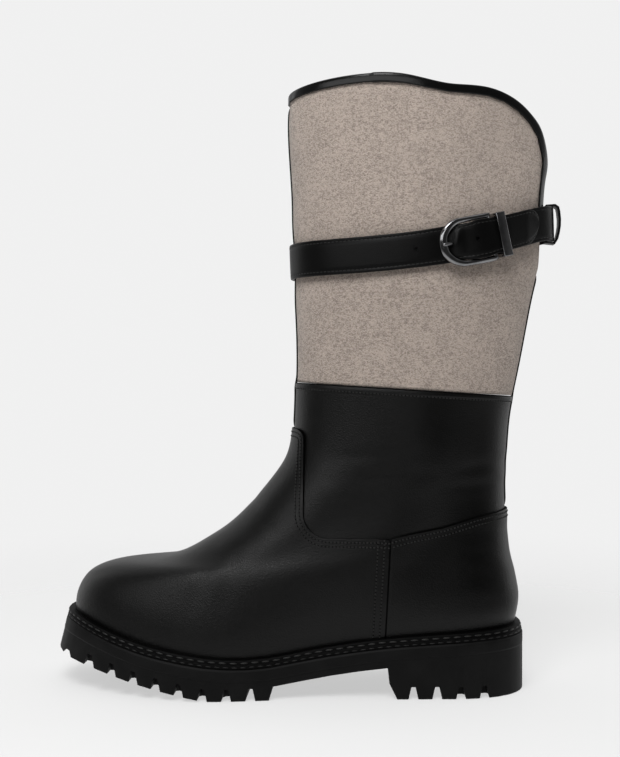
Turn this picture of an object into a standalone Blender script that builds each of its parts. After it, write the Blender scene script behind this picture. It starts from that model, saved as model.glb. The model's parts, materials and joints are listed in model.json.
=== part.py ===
"""Left winter boot: lug sole, stitched welt, leather foot, felt shaft and a buckled strap.

The model is in metres with +Z up. The toe points to -X, the outer side of the foot faces -Y,
and the origin lies on the floor under the middle of the boot. Sizes below are millimetres.
"""
import math
from collections import namedtuple
from functools import lru_cache

import bmesh
import bpy
from mathutils import Vector

MM = 0.001
GAP = 0.3

# Walls and strips
LEATHER = 1.8
FELT = 3.6
OVERLAY = 1.2
WELT_REACH = 5.5
WELT_HEIGHT = 5.2
INSOLE = 2.0
STRAP_WIDTH = 20.7
STRAP_THICK = 2.2
BINDING_WIDTH = 4.0
BINDING_THICK = 1.1
BINDING_LIP = 0.2
BINDING_ROUND_OUT = 0.6
BINDING_ROUND_IN = 0.3
PIPING_WIDTH = 2.4
PIPING_THICK = 0.9
PIPING_END = 1.0
PIPING_ROWS = 8
SPLIT_CLEAR = 2.0

# Columns of points round each ring, and rows up the shaft
COLUMNS = 36
SHAFT_ROWS = 13
SPLIT_ROW = 7
NOSE_POWER = 2.15

# Small steps that give a surface's slopes: a turn, a part of a level and a rise
TURN = 0.02
LEVEL_STEP = 0.05
RISE_STEP = 0.5

# Sole: its top line and its tread line at stations along the foot
SoleStation = namedtuple("SoleStation", "x top tread")
SOLE = [
    SoleStation(-153.0, 39.6, 22.0),
    SoleStation(-140.0, 38.2, 18.0),
    SoleStation(-118.0, 31.6, 12.3),
    SoleStation(-97.0, 25.9, 7.6),
    SoleStation(-77.0, 22.0, 3.5),
    SoleStation(-56.0, 19.1, 0.0),
    SoleStation(-38.0, 18.0, 0.0),
    SoleStation(-19.0, 19.1, 0.0),
    SoleStation(12.0, 24.4, 0.0),
    SoleStation(44.0, 29.0, 0.0),
    SoleStation(94.0, 32.5, 0.0),
    SoleStation(131.0, 34.2, 0.0),
]
SOLE_BASE = 11.4
LUG_DEPTH = 7.0
TOE_LUG_DEPTH = 3.0
LUG_PITCH = 13.7
LUG_SLOT = 4.0
LUG_TAPER = 1.6
TOE_SLOTS = 9
TOE_SLOT_LAST = -31.0
FOREFOOT_END = -20.5
FOREFOOT_STEP = 2.0
HEEL_SLOTS = 4
HEEL_OPEN_SLOTS = 2
HEEL_SLOT_FIRST = 62.3
HEEL_BREAST = 47.5
BREAST_STEP = 1.0
BREAST_FOOT = 9.0
BREAST_SLOPE = 5.5
LUG_REACH = 10.0
CORE_LEAST = 0.3
CORE_TAPER = 0.94
RIM_HEIGHT = 6.5
RIM_STEP = 0.8
RIM_STEP_SHARE = 0.15
RIM_CHAMFER = 1.2
RIM_LIP = 0.7
TOE_LEAN = 5.0
TOE_LEAN_X = -115.0
TOE_LEAN_REACH = 32.0
TOE_LEAN_HEIGHT = 20.0

# Distances from the sole's two ends at which its rounding gets a section
TOE_ROUND = (0.3, 1.2, 2.8)
HEEL_ROUND = (17.0, 10.0, 5.5, 2.8, 1.2, 0.3)

# Section of the welt: shares of the way in from its outer edge and of its height
WeltPoint = namedtuple("WeltPoint", "inward height")
WELT_SECTION = [WeltPoint(0.0, 0.42), WeltPoint(0.14, 0.5), WeltPoint(0.1, 0.86),
                WeltPoint(0.25, 1.0)]
WELT_INSET = 0.6
INSOLE_MARGIN = 0.8
INSOLE_SECTIONS = 14

# Swing of the foot's middle line towards the inner side, at stations along the foot
Swing = namedtuple("Swing", "x y")
SWING = [Swing(-150.0, 8.0), Swing(-100.0, 4.0), Swing(-55.0, 0.0), Swing(0.0, -3.5),
         Swing(45.0, -3.0), Swing(95.0, 0.0), Swing(130.0, 0.0)]

# Rings of the leather foot and ankle. Each runs from a point on the front profile to one on the
# back profile. fore, mid and rear are half widths, nose and tail the shares of the length that
# round off, point the bluntness of the tail, bow the share of the swing, sag of the sole's line.
Ring = namedtuple("Ring", "front_x front_z back_x back_z fore mid rear nose tail point bow sag")
FOOT_RINGS = [
    Ring(-144.2, 39.2, 123.4, 34.4, 45.2, 31.0, 30.8, 0.30, 0.16, 2.2, 1.00, 1.00),
    Ring(-144.5, 44.7, 124.4, 40.1, 45.6, 32.0, 31.8, 0.30, 0.16, 2.2, 1.00, 1.00),
    Ring(-143.7, 52.4, 126.0, 48.0, 45.8, 33.2, 33.2, 0.30, 0.16, 2.2, 1.00, 0.86),
    Ring(-140.5, 60.0, 126.6, 55.8, 44.6, 34.6, 33.6, 0.29, 0.17, 2.2, 0.95, 0.66),
    Ring(-134.6, 66.6, 125.6, 63.0, 42.6, 35.6, 33.2, 0.29, 0.17, 2.2, 0.85, 0.46),
    Ring(-124.0, 71.4, 124.2, 70.0, 40.6, 36.2, 32.2, 0.28, 0.18, 2.2, 0.75, 0.30),
    Ring(-109.5, 73.9, 122.4, 76.8, 38.6, 36.4, 31.2, 0.28, 0.18, 2.2, 0.65, 0.20),
    Ring(-92.5, 75.2, 121.2, 83.0, 37.0, 36.4, 30.4, 0.28, 0.19, 2.1, 0.55, 0.12),
    Ring(-76.5, 79.4, 120.5, 89.2, 35.6, 36.2, 29.6, 0.28, 0.20, 2.1, 0.45, 0.06),
    Ring(-61.0, 88.0, 120.0, 95.8, 34.6, 36.0, 29.0, 0.29, 0.22, 2.1, 0.35, 0.00),
    Ring(-47.5, 97.2, 120.1, 103.2, 34.2, 36.0, 28.8, 0.31, 0.24, 2.1, 0.25, 0.00),
    Ring(-35.0, 109.0, 119.6, 112.4, 34.2, 36.0, 28.8, 0.34, 0.28, 2.0, 0.15, 0.00),
    Ring(-24.2, 121.2, 119.2, 122.4, 34.6, 36.2, 29.4, 0.38, 0.33, 2.0, 0.08, 0.00),
    Ring(-14.6, 133.8, 119.2, 134.0, 35.2, 36.5, 30.6, 0.43, 0.38, 2.0, 0.00, 0.00),
    Ring(-9.8, 146.4, 119.6, 146.0, 35.8, 36.8, 32.2, 0.47, 0.43, 2.0, 0.00, 0.00),
    Ring(-8.2, 163.0, 120.6, 160.0, 36.4, 37.0, 34.4, 0.50, 0.48, 2.0, 0.00, 0.00),
    Ring(-7.6, 182.0, 122.8, 174.0, 37.0, 37.2, 36.6, 0.50, 0.50, 2.0, 0.00, 0.00),
]

# Shares of a ring's length at which its half width leaves fore, reaches mid and reaches rear
BALL_SHARE = 0.3
WAIST_SHARE = 0.6
HEEL_SHARE = 0.85

# Levels between which the upper comes out from under the overlays
SEAT_LEVEL = 10.0
FLUSH_LEVEL = 15.0

# Level rings of the felt shaft, by height
ShaftRing = namedtuple("ShaftRing", "z front_x back_x half point")
SHAFT_RINGS = [
    ShaftRing(172.0, -7.8, 122.8, 37.0, 2.00),
    ShaftRing(194.0, -7.2, 127.4, 37.8, 1.95),
    ShaftRing(231.0, -8.0, 134.4, 39.2, 1.85),
    ShaftRing(262.0, -9.2, 140.8, 40.2, 1.70),
    ShaftRing(290.0, -10.0, 142.4, 40.8, 1.60),
    ShaftRing(316.0, -11.6, 145.4, 41.0, 1.55),
    ShaftRing(338.0, -12.6, 146.4, 40.6, 1.55),
    ShaftRing(360.0, -11.4, 147.0, 40.0, 1.55),
]
FELT_INSET = 0.7

# Collar: level at the front and sides, then a quarter ellipse down to the split at the back
COLLAR_Z = 359.4
COLLAR_DIP = 4.4
WAVE_X = 93.0
WAVE_REACH = 23.0
WAVE_DEPTH = 5.3
CORNER_X = 55.0
CORNER_Z = 315.0
CORNER_POWER = 2.9
SPLIT_HALF = 6.0
SPLIT_ROUND = 18.0
BINDING_ROW = 9

# Edge of the vamp seen from the side, and of the counter behind it
VAMP_TOP = 154.7
VAMP_SIDE_X = -1.2
VAMP_LOW = 92.0
VAMP_TOP_RADIUS = 6.0
VAMP_LOW_RADIUS = 14.0
SEAM_TOP_X = 49.0
SEAM_FOOT_X = 45.8
SEAM_FOOT_Z = 30.0
EdgePoint = namedtuple("EdgePoint", "x z")
COUNTER_EDGE = [EdgePoint(62.0, 95.0), EdgePoint(80.0, 98.1), EdgePoint(99.0, 103.4),
                EdgePoint(118.0, 107.0), EdgePoint(150.0, 108.0)]

# Strap: height of its middle line at the front and the rise towards the back
STRAP_FRONT_Z = 254.9
STRAP_RISE = 22.5
STRAP_RISE_POWER = 2.6
STRAP_SEAT = 1.6
STRAP_BACK_SEAT = 4.6
STRAP_BACK_SHARE = 0.93
STRAP_BEVEL = 0.5
STRAP_BEVEL_SHARE = 0.3
STRAP_TIP_X = 139.0
STRAP_TIP_TURNS = (15, 35, 55, 75, 88)
STRAP_STEP = math.radians(10.0)

# Buckle: places along the outer side of the strap
BAR_X = 105.0
BAR_RADIUS = 1.2
BOW_X = 78.3
BOW_WIDE = 2.45
RAIL_WIDE = 1.6
FRAME_THICK = 1.5
BOW_ROUND = 12.0
BOW_TURNS = (75, 55, 35, 15)
FRAME_LIFT = 5.7
FRAME_CLEAR = 0.45
FRAME_CORNER = 2.0
BAR_SHARES = (-0.8, 0.0, 0.8)
CHAPE_X = 106.9
RISE_X = 86.5
CREST_X = 94.5
REST_X = 124.0
FREE_END_X = (87.9, 89.3, 90.7, 92.1, 93.4, CREST_X, 98.0, 101.5, BAR_X, 108.5, 112.0, 116.0,
              120.0, REST_X, 128.0)
SLOT_X = 91.3
SLOT_LENGTH = 7.6
SLOT_WIDTH = 3.2
SLOT_SIDES = 8
KEEPER_X = (107.9, 112.6)
KEEPER_FOOT = 0.2
KEEPER_SIDE = 2.2
KEEPER_PLATE = 1.0
PRONG_RADIUS = 1.0
PRONG_TIP_RADIUS = 0.7
PRONG_BEND_X = 94.5
PRONG_TIP_X = 77.4
PRONG_DROOP = 0.2
LOOP_WIDTH = 8.0
LOOP_THICK = 1.4
# Middle line of the loop's strip: distance from the shaft and side of the strap's middle line
LoopPoint = namedtuple("LoopPoint", "lift side")
LOOP_ROUTE = [LoopPoint(2.0, -11.35), LoopPoint(6.8, -11.35), LoopPoint(8.6, -10.2), LoopPoint(9.3, -7.6),
              LoopPoint(9.9, -3.0), LoopPoint(9.9, 1.0), LoopPoint(9.4, 4.8), LoopPoint(8.6, 8.6),
              LoopPoint(7.2, 11.35), LoopPoint(2.0, 11.35)]


def clamp(value, low=0.0, high=1.0):
    return max(low, min(high, value))


def ease(value):
    value = clamp(value)
    return value * value * (3.0 - 2.0 * value)


def mix(a, b, share):
    return a + (b - a) * share


def spline(table, place, column, key="x"):
    """Value of one column of a table at a place, on a smooth curve through its rows."""
    places = [getattr(row, key) for row in table]
    values = [getattr(row, column) for row in table]
    place = clamp(place, places[0], places[-1])
    last = len(places) - 1
    i = max(k for k in range(last) if places[k] <= place) if place > places[0] else 0

    def slope(k):
        low, high = max(k - 1, 0), min(k + 1, last)
        return (values[high] - values[low]) / (places[high] - places[low])

    span = places[i + 1] - places[i]
    t = (place - places[i]) / span
    return ((1 + 2 * t) * (1 - t) ** 2 * values[i] + t * (1 - t) ** 2 * span * slope(i)
            + t * t * (3 - 2 * t) * values[i + 1] + t * t * (t - 1) * span * slope(i + 1))


def sole_top(x):
    return spline(SOLE, x, "top")


def sole_tread(x):
    return max(0.0, spline(SOLE, x, "tread"))


def round_off(share, nose, tail, point):
    """Width factor that closes a ring at its nose and at its tail."""
    front = clamp(1.0 - share / nose)
    back = clamp(1.0 - (1.0 - share) / tail)
    return ((1.0 - front ** NOSE_POWER) ** (1.0 / NOSE_POWER)
            * (1.0 - back ** point) ** (1.0 / point))


def half_width(ring, share):
    """Half width along a ring before its ends are rounded."""
    if share < WAIST_SHARE:
        return mix(ring.fore, ring.mid, ease((share - BALL_SHARE) / (WAIST_SHARE - BALL_SHARE)))
    return mix(ring.mid, ring.rear, ease((share - WAIST_SHARE) / (HEEL_SHARE - WAIST_SHARE)))


LevelRing = namedtuple("LevelRing", ("level",) + Ring._fields)
LEVELS = [LevelRing(i, *ring) for i, ring in enumerate(FOOT_RINGS)]


@lru_cache(maxsize=None)
def foot_ring(level):
    """Ring at any level between the first and the last one, by a smooth curve through them."""
    return Ring(*(spline(LEVELS, level, name, key="level") for name in Ring._fields))


def ring_point(ring, angle, grow=0.0):
    """Point of a ring: angle 0 is the front, and the outer side comes before the back."""
    share = (1.0 - math.cos(angle)) / 2.0
    x = mix(ring.front_x - grow, ring.back_x + grow, share)
    width = (half_width(ring, share) + grow) * round_off(share, ring.nose, ring.tail, ring.point)
    side = -1.0 if math.sin(angle) > 0.0 else 1.0
    chord = mix(sole_top(ring.front_x), sole_top(ring.back_x), share)
    z = mix(ring.front_z, ring.back_z, share) + ring.sag * (sole_top(x) - chord)
    return Vector((x, side * width + ring.bow * spline(SWING, x, "y"), z))


def lifted(surface, angle, height, lift, height_step):
    """Point of a surface moved along its outward normal."""
    point = surface(angle, height)
    if lift == 0.0:
        return point
    along = surface(angle + TURN, height) - surface(angle - TURN, height)
    up = surface(angle, height + height_step) - surface(angle, height - height_step)
    return point + up.cross(along).normalized() * -lift


def foot_surface(angle, level):
    top = len(FOOT_RINGS) - 1
    if level > top:
        return foot_surface(angle, top) * 2.0 - foot_surface(angle, 2 * top - level)
    if level < 0:
        return foot_surface(angle, 0) * 2.0 - foot_surface(angle, -level)
    return ring_point(foot_ring(level), angle)


def foot_point(angle, level, lift=0.0):
    """Point of the upper's outside, set back under the overlays and flush above them."""
    seat = (GAP + OVERLAY) * (1.0 - ease((level - SEAT_LEVEL) / (FLUSH_LEVEL - SEAT_LEVEL)))
    return lifted(foot_surface, angle, level, lift - seat, LEVEL_STEP)


@lru_cache(maxsize=None)
def shaft_ring(z):
    """Level ring of the shaft at a height."""
    def at(column):
        return spline(SHAFT_RINGS, z, column, key="z")
    half = at("half")
    return Ring(at("front_x"), z, at("back_x"), z, half, half, half, 0.5, 0.5, at("point"), 0.0, 0.0)


def shaft_surface(angle, z):
    return ring_point(shaft_ring(z), angle)


def shaft_point(angle, z, lift=0.0):
    return lifted(shaft_surface, angle, z, lift - FELT_INSET, RISE_STEP)


def felt_line(angle):
    """Height where leather ends and felt starts."""
    top = FOOT_RINGS[-1]
    return mix(top.front_z, top.back_z, (1.0 - math.cos(angle)) / 2.0)


def collar_line(angle):
    """Height of the collar's edge."""
    x = shaft_surface(angle, CORNER_Z).x
    reach = shaft_surface(math.pi, CORNER_Z).x - CORNER_X
    share = clamp((x - CORNER_X) / reach)
    ahead = clamp((CORNER_X - x) / (CORNER_X - shaft_surface(0.0, CORNER_Z).x))
    drop = (1.0 - share ** CORNER_POWER) ** (1.0 / CORNER_POWER)
    wave = WAVE_DEPTH * math.exp(-((x - WAVE_X) / WAVE_REACH) ** 2)
    return mix(CORNER_Z, COLLAR_Z, drop) - COLLAR_DIP * ahead * ahead - wave


def split_angle(z):
    """Angle at which the felt ends beside the split in the back."""
    base = felt_line(math.pi)
    foot = mix(base, CORNER_Z, SPLIT_ROW / SHAFT_ROWS)
    rise = clamp((z - foot) / SPLIT_ROUND)
    half = SPLIT_HALF * math.sqrt(1.0 - (1.0 - rise) ** 2)
    low, high = math.pi / 2.0, math.pi
    for _ in range(40):
        middle = (low + high) / 2.0
        if abs(shaft_surface(middle, z).y) > half:
            low = middle
        else:
            high = middle
    return high


def make_collection(name):
    collection = bpy.data.collections.new(name)
    bpy.context.scene.collection.children.link(collection)
    return collection


def make_finish(name, colour, roughness, metallic=0.0):
    material = bpy.data.materials.new(name)
    material.use_nodes = True
    shader = material.node_tree.nodes["Principled BSDF"]
    shader.inputs["Base Color"].default_value = (*colour, 1.0)
    shader.inputs["Roughness"].default_value = roughness
    shader.inputs["Metallic"].default_value = metallic
    return material


def make_object(name, mesh_data, collection, material=None):
    """Object from a bmesh in millimetres, scaled to metres, with faces pointing out."""
    bmesh.ops.scale(mesh_data, vec=(MM, MM, MM), verts=mesh_data.verts)
    bmesh.ops.recalc_face_normals(mesh_data, faces=mesh_data.faces)
    mesh = bpy.data.meshes.new(name)
    mesh_data.to_mesh(mesh)
    mesh_data.free()
    mesh.shade_smooth()
    mesh.set_sharp_from_angle(angle=math.radians(35.0))
    if material:
        mesh.materials.append(material)
    made = bpy.data.objects.new(name, mesh)
    collection.objects.link(made)
    return made


def loft(sections, closed=False):
    """Solid through a row of sections with the same number of points; closed joins the ends."""
    solid = bmesh.new()
    rows = [[solid.verts.new(point) for point in section] for section in sections]
    count = len(rows[0])
    pairs = list(zip(rows, rows[1:]))
    if closed:
        pairs.append((rows[-1], rows[0]))
    for low, high in pairs:
        for j in range(count):
            k = (j + 1) % count
            solid.faces.new((low[j], low[k], high[k], high[j]))
    if not closed:
        solid.faces.new(rows[0])
        solid.faces.new(list(reversed(rows[-1])))
    return solid


def shell(point, rows, columns, outer, inner, split_row=None):
    """Hollow wall between two lifts of a surface, open at its first and last rows.

    Its columns run round and close on the first one, or up to split_row where the wall is split.
    """
    wall = bmesh.new()
    layers = []
    for lift in (outer, inner):
        grid = []
        for i in range(rows + 1):
            row = [wall.verts.new(point(i, j, lift)) for j in range(columns)]
            if split_row is None or i <= split_row:
                row.append(row[0])
            else:
                row.append(wall.verts.new(point(i, columns, lift)))
            grid.append(row)
        layers.append(grid)
    for grid in layers:
        for i in range(rows):
            for j in range(columns):
                a, b, c, d = grid[i][j], grid[i][j + 1], grid[i + 1][j + 1], grid[i + 1][j]
                wall.faces.new((a, b, c))
                wall.faces.new((a, c, d))
    out, into = layers
    rims = [[(i, j) for j in range(columns + 1)] for i in (0, rows)]
    if split_row is not None:
        rims += [[(i, j) for i in range(split_row, rows + 1)] for j in (0, columns)]
    for rim in rims:
        for (i, j), (k, m) in zip(rim, rim[1:]):
            wall.faces.new((out[i][j], out[k][m], into[k][m], into[i][j]))
    return wall


def foot_wall(first, last, outer, inner):
    def point(i, j, lift):
        return foot_point(math.tau * j / COLUMNS, first + i, lift)
    return shell(point, last - first, COLUMNS, outer, inner)


def make_upper(collection, material):
    wall = foot_wall(0, len(FOOT_RINGS) - 1, 0.0, -LEATHER)
    return make_object("upper", wall, collection, material)


def shaft_place(i, j):
    """Angle and height of the shaft's grid. Column 0 is the outer edge of the split at the back."""
    side = 1.0 - 2.0 * j / COLUMNS
    angle = math.pi * side
    z = mix(felt_line(angle) + GAP, collar_line(angle), i / SHAFT_ROWS)
    return split_angle(z) * side, z


def shaft_grid(i, j, lift):
    return shaft_point(*shaft_place(i, j), lift)


def make_shaft(collection, material):
    wall = shell(shaft_grid, SHAFT_ROWS, COLUMNS, 0.0, -FELT, SPLIT_ROW)
    return make_object("shaft", wall, collection, material)


def outsole_outline(x, inset=0.0):
    """Outer and inner edge of the outsole at a place along the foot."""
    ring = FOOT_RINGS[0]
    reach = WELT_REACH - inset
    share = clamp((x - ring.front_x + reach) / (ring.back_x - ring.front_x + 2.0 * reach))
    middle = spline(SWING, x, "y")
    width = (half_width(ring, share) + reach) * round_off(share, ring.nose, ring.tail, ring.point)
    return middle - width, middle + width


def tread_stations():
    """Places along the sole with the height of its underside there, at the sides and in the middle."""
    front = FOOT_RINGS[0].front_x - WELT_REACH
    back = FOOT_RINGS[0].back_x + WELT_REACH
    stations = []

    def level(x, bottom):
        stations.append((x, bottom, bottom))

    def slot(x, depth, across):
        for edge, lift in ((-1, 0), (-1, 1), (1, 1), (1, 0)):
            place = x + edge * (LUG_SLOT / 2.0 + LUG_TAPER * (0.5 - lift))
            tread = sole_tread(place)
            stations.append((place, tread + depth * lift, tread + depth * lift * across))

    for step in TOE_ROUND:
        level(front + step, sole_tread(front + step))
    for k in reversed(range(TOE_SLOTS)):
        depth = TOE_LUG_DEPTH if k == TOE_SLOTS - 1 else LUG_DEPTH
        slot(TOE_SLOT_LAST - LUG_PITCH * k, depth, k == 0)
    level(FOREFOOT_END, 0.0)
    for share in (0.0, 0.25, 0.5, 0.75, 1.0):
        x = mix(FOREFOOT_END + FOREFOOT_STEP, HEEL_BREAST, share)
        level(x, sole_top(x) - SOLE_BASE)
    level(HEEL_BREAST + BREAST_STEP, BREAST_FOOT)
    level(HEEL_BREAST + BREAST_SLOPE, 0.0)
    for k in range(HEEL_SLOTS):
        slot(HEEL_SLOT_FIRST + LUG_PITCH * k, LUG_DEPTH, k < HEEL_OPEN_SLOTS)
    for step in HEEL_ROUND:
        level(back - step, 0.0)
    return stations


def make_outsole(collection, material):
    """Moulded sole: a rim with a step under it, lugs along both sides and a core between them."""
    sections = []
    for x, bottom, middle_bottom in tread_stations():
        top = sole_top(x)
        edges = outsole_outline(x)
        middle = spline(SWING, x, "y")
        toe = TOE_LEAN * ease((TOE_LEAN_X - x) / TOE_LEAN_REACH)
        half = (edges[1] - edges[0]) / 2.0
        step = min(RIM_STEP, RIM_STEP_SHARE * half)
        core = max(half - LUG_REACH, CORE_LEAST * half)

        def place(y, z):
            return Vector((x - toe * clamp((top - z) / TOE_LEAN_HEIGHT), y, z))

        halves = []
        for edge, inward in ((edges[0], 1.0), (edges[1], -1.0)):
            halves.append([
                place(edge + inward * step, top),
                place(edge, top - RIM_CHAMFER),
                place(edge, top - RIM_HEIGHT),
                place(edge + inward * step, top - RIM_HEIGHT - RIM_LIP),
                place(edge + inward * step, bottom),
                place(middle - inward * core, bottom),
                place(middle - inward * core * CORE_TAPER, middle_bottom),
            ])
        sections.append(halves[0] + halves[1][::-1])
    return make_object("outsole", loft(sections), collection, material)


def ring_outline(grow, angle):
    return ring_point(FOOT_RINGS[0], angle, grow)


def make_welt(collection, material):
    """Strip that lies on the outsole's edge round the foot of the upper."""
    sections = []
    for j in range(2 * COLUMNS):
        angle = math.tau * j / (2 * COLUMNS)
        inner = ring_outline(0.0, angle)
        outer = ring_outline(WELT_REACH - WELT_INSET, angle)
        profile = [(inner, GAP), (outer, GAP)]
        profile += [(mix(outer, inner, p.inward), p.height * WELT_HEIGHT) for p in WELT_SECTION]
        profile.append((inner, WELT_HEIGHT))
        sections.append([Vector((p.x, p.y, sole_top(p.x) + z)) for p, z in profile])
    return make_object("welt", loft(sections, closed=True), collection, material)


def make_insole(collection, material):
    """Thin board that follows the top of the outsole inside the upper."""
    margin = GAP + OVERLAY + LEATHER + INSOLE_MARGIN
    inset = WELT_REACH + margin
    front = FOOT_RINGS[0].front_x + margin
    back = FOOT_RINGS[0].back_x - margin
    end = 0.25
    sections = []
    for k in range(INSOLE_SECTIONS + 1):
        turn = math.pi * (k + end) / (INSOLE_SECTIONS + 2.0 * end)
        x = mix(front, back, (1.0 - math.cos(turn)) / 2.0)
        outer, inner = outsole_outline(x, inset)
        low = sole_top(x) + GAP
        sections.append([Vector((x, outer, low)), Vector((x, inner, low)),
                         Vector((x, inner, low + INSOLE)), Vector((x, outer, low + INSOLE))])
    return make_object("insole", loft(sections), collection, material)


def arc(x, z, radius, start, end, count=5):
    """Points of an arc in the side view, by its angles in degrees."""
    angles = [math.radians(mix(start, end, k / count)) for k in range(count + 1)]
    return [EdgePoint(x + radius * math.cos(a), z + radius * math.sin(a)) for a in angles]


def cut_overlay(name, outline, collection, cutters, material):
    """Piece of a skin over the upper, cut out by an outline seen from the side."""
    skin = foot_wall(1, len(FOOT_RINGS) - 2, GAP + OVERLAY, GAP)
    piece = make_object(name, skin, collection, material)
    reach = 90.0
    block = loft([[Vector((p.x, y, p.z)) for p in outline] for y in (-reach, reach)])
    cutter = make_object(name + "_cutter", block, cutters)
    cutter.hide_render = True
    cutter.display_type = "WIRE"
    cut = piece.modifiers.new("outline", "BOOLEAN")
    cut.operation = "INTERSECT"
    cut.object = cutter
    return piece


def make_overlays(collection, cutters, material):
    far = 200.0
    top, low = VAMP_TOP_RADIUS, VAMP_LOW_RADIUS
    seam = [EdgePoint(SEAM_TOP_X, VAMP_LOW), EdgePoint(SEAM_FOOT_X, SEAM_FOOT_Z),
            EdgePoint(SEAM_FOOT_X, 0.0)]
    vamp = [EdgePoint(-far, 0.0), EdgePoint(-far, VAMP_TOP)]
    vamp += arc(VAMP_SIDE_X - top, VAMP_TOP - top, top, 90.0, 0.0)
    vamp += arc(VAMP_SIDE_X + low, VAMP_LOW + low, low, 180.0, 270.0)
    cut_overlay("vamp", vamp + seam, collection, cutters, material)
    seam = [EdgePoint(p.x + GAP, p.z) for p in reversed(seam)]
    counter = seam + COUNTER_EDGE + [EdgePoint(far, COUNTER_EDGE[-1].z), EdgePoint(far, 0.0)]
    cut_overlay("counter", counter, collection, cutters, material)


def edge_frame(points, k, normal):
    """Direction across an edge at one of its points, square to its run and to a normal."""
    run = points[min(k + 1, len(points) - 1)] - points[max(k - 1, 0)]
    return normal.cross(run).normalized()


def step_on_shaft(angle, z, direction, reach):
    """Angle and height that a step along a direction reaches on the shaft's surface."""
    here = shaft_surface(angle, z)
    across = (shaft_surface(angle + TURN, z) - here) / TURN
    up = (shaft_surface(angle, z + RISE_STEP) - here) / RISE_STEP
    aa, ab, bb = across.dot(across), across.dot(up), up.dot(up)
    a, b = across.dot(direction), up.dot(direction)
    scale = reach / (aa * bb - ab * ab)
    return angle + (a * bb - b * ab) * scale, z + (b * aa - a * ab) * scale


def make_binding(collection, material):
    """Folded strip over the collar's edge and down both sides of the split."""
    cells = [(i, 0) for i in range(BINDING_ROW, SHAFT_ROWS)]
    cells += [(SHAFT_ROWS, j) for j in range(COLUMNS + 1)]
    cells += [(i, COLUMNS) for i in reversed(range(BINDING_ROW, SHAFT_ROWS))]
    edge = [shaft_grid(i, j, 0.0) for i, j in cells]
    near, far = GAP, GAP + BINDING_THICK
    back = -FELT
    over = ((far, -BINDING_LIP), (near - BINDING_ROUND_OUT, -far),
            (back + BINDING_ROUND_IN, -far), (back - far, -BINDING_LIP))
    under = ((back - near, -near), (near, -near))
    sections = []
    for k, (i, j) in enumerate(cells):
        normal = (shaft_grid(i, j, 1.0) - edge[k]).normalized()
        down = edge_frame(edge, k, normal)
        foot = step_on_shaft(*shaft_place(i, j), down, BINDING_WIDTH)
        lifts = (far, back - far - BINDING_LIP, back - near - BINDING_LIP, near + BINDING_LIP)
        legs = [shaft_point(*foot, lift) for lift in lifts]
        fold = [edge[k] + normal * out + down * into for out, into in over + under]
        sections.append([legs[0]] + fold[:4] + legs[1:3] + fold[4:] + legs[3:])
    return make_object("collar_binding", loft(sections), collection, material)


def make_piping(name, route, collection, material):
    """Thin flat strip along a seam, given the lifted points of its route."""
    half = PIPING_WIDTH / 2.0
    profile = ((GAP, -half), (GAP + PIPING_THICK, -0.5 * half), (GAP + PIPING_THICK, 0.5 * half),
               (GAP, half))
    sections = [[base + out * lift + Vector((0.0, side, 0.0)) for lift, side in profile]
                for base, out in route]
    return make_object(name, loft(sections), collection, material)


def make_pipings(collection, material):
    def shaft_route(angle, low, high):
        route = []
        for k in range(PIPING_ROWS + 1):
            z = mix(low, high, k / PIPING_ROWS)
            base = shaft_point(angle, z)
            route.append((base, (shaft_point(angle, z, 1.0) - base).normalized()))
        return route

    top = collar_line(0.0) - BINDING_WIDTH - PIPING_END
    make_piping("front_piping", shaft_route(0.0, felt_line(0.0) + PIPING_END, top),
                collection, material)
    top = shaft_grid(SPLIT_ROW, 0, 0.0).z - SPLIT_CLEAR
    make_piping("back_piping", shaft_route(math.pi, felt_line(math.pi) + PIPING_END, top),
                collection, material)


def strap_z(angle):
    share = (1.0 - math.cos(angle)) / 2.0
    return STRAP_FRONT_Z + STRAP_RISE * share ** STRAP_RISE_POWER


def strap_angle(x):
    """Angle on the outer side where the strap's middle line is at a place along the boot."""
    low, high = 0.0, math.pi
    for _ in range(40):
        middle = (low + high) / 2.0
        if shaft_surface(middle, strap_z(middle)).x < x:
            low = middle
        else:
            high = middle
    return low


def strap_seat(angle):
    """Clearance under the strap, wider where it rounds the back."""
    share = (1.0 - math.cos(angle)) / 2.0
    back = (share - STRAP_BACK_SHARE) / (1.0 - STRAP_BACK_SHARE)
    return mix(STRAP_SEAT, STRAP_BACK_SEAT, ease(back))


def free_end_seat(x, angle):
    """Clearance under the strap's second turn, over the buckle's bar and its own first turn."""
    over_bar = FRAME_LIFT + BAR_RADIUS + GAP
    over_turn = strap_seat(angle) + STRAP_THICK + GAP
    if x < BAR_X:
        return mix(STRAP_SEAT, over_bar, ease((x - RISE_X) / (CREST_X - RISE_X)))
    return mix(over_bar, over_turn, ease((x - BAR_X) / (REST_X - BAR_X)))


def strap_frame(angle, lift):
    """Point over the strap's middle line, with the outward and upward directions there."""
    base = shaft_point(angle, strap_z(angle))
    out = (shaft_point(angle, strap_z(angle), 1.0) - base).normalized()
    before, after = (shaft_point(a, strap_z(a)) for a in (angle - TURN, angle + TURN))
    up = (after - before).cross(out).normalized()
    return base + out * lift, out, up


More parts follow.
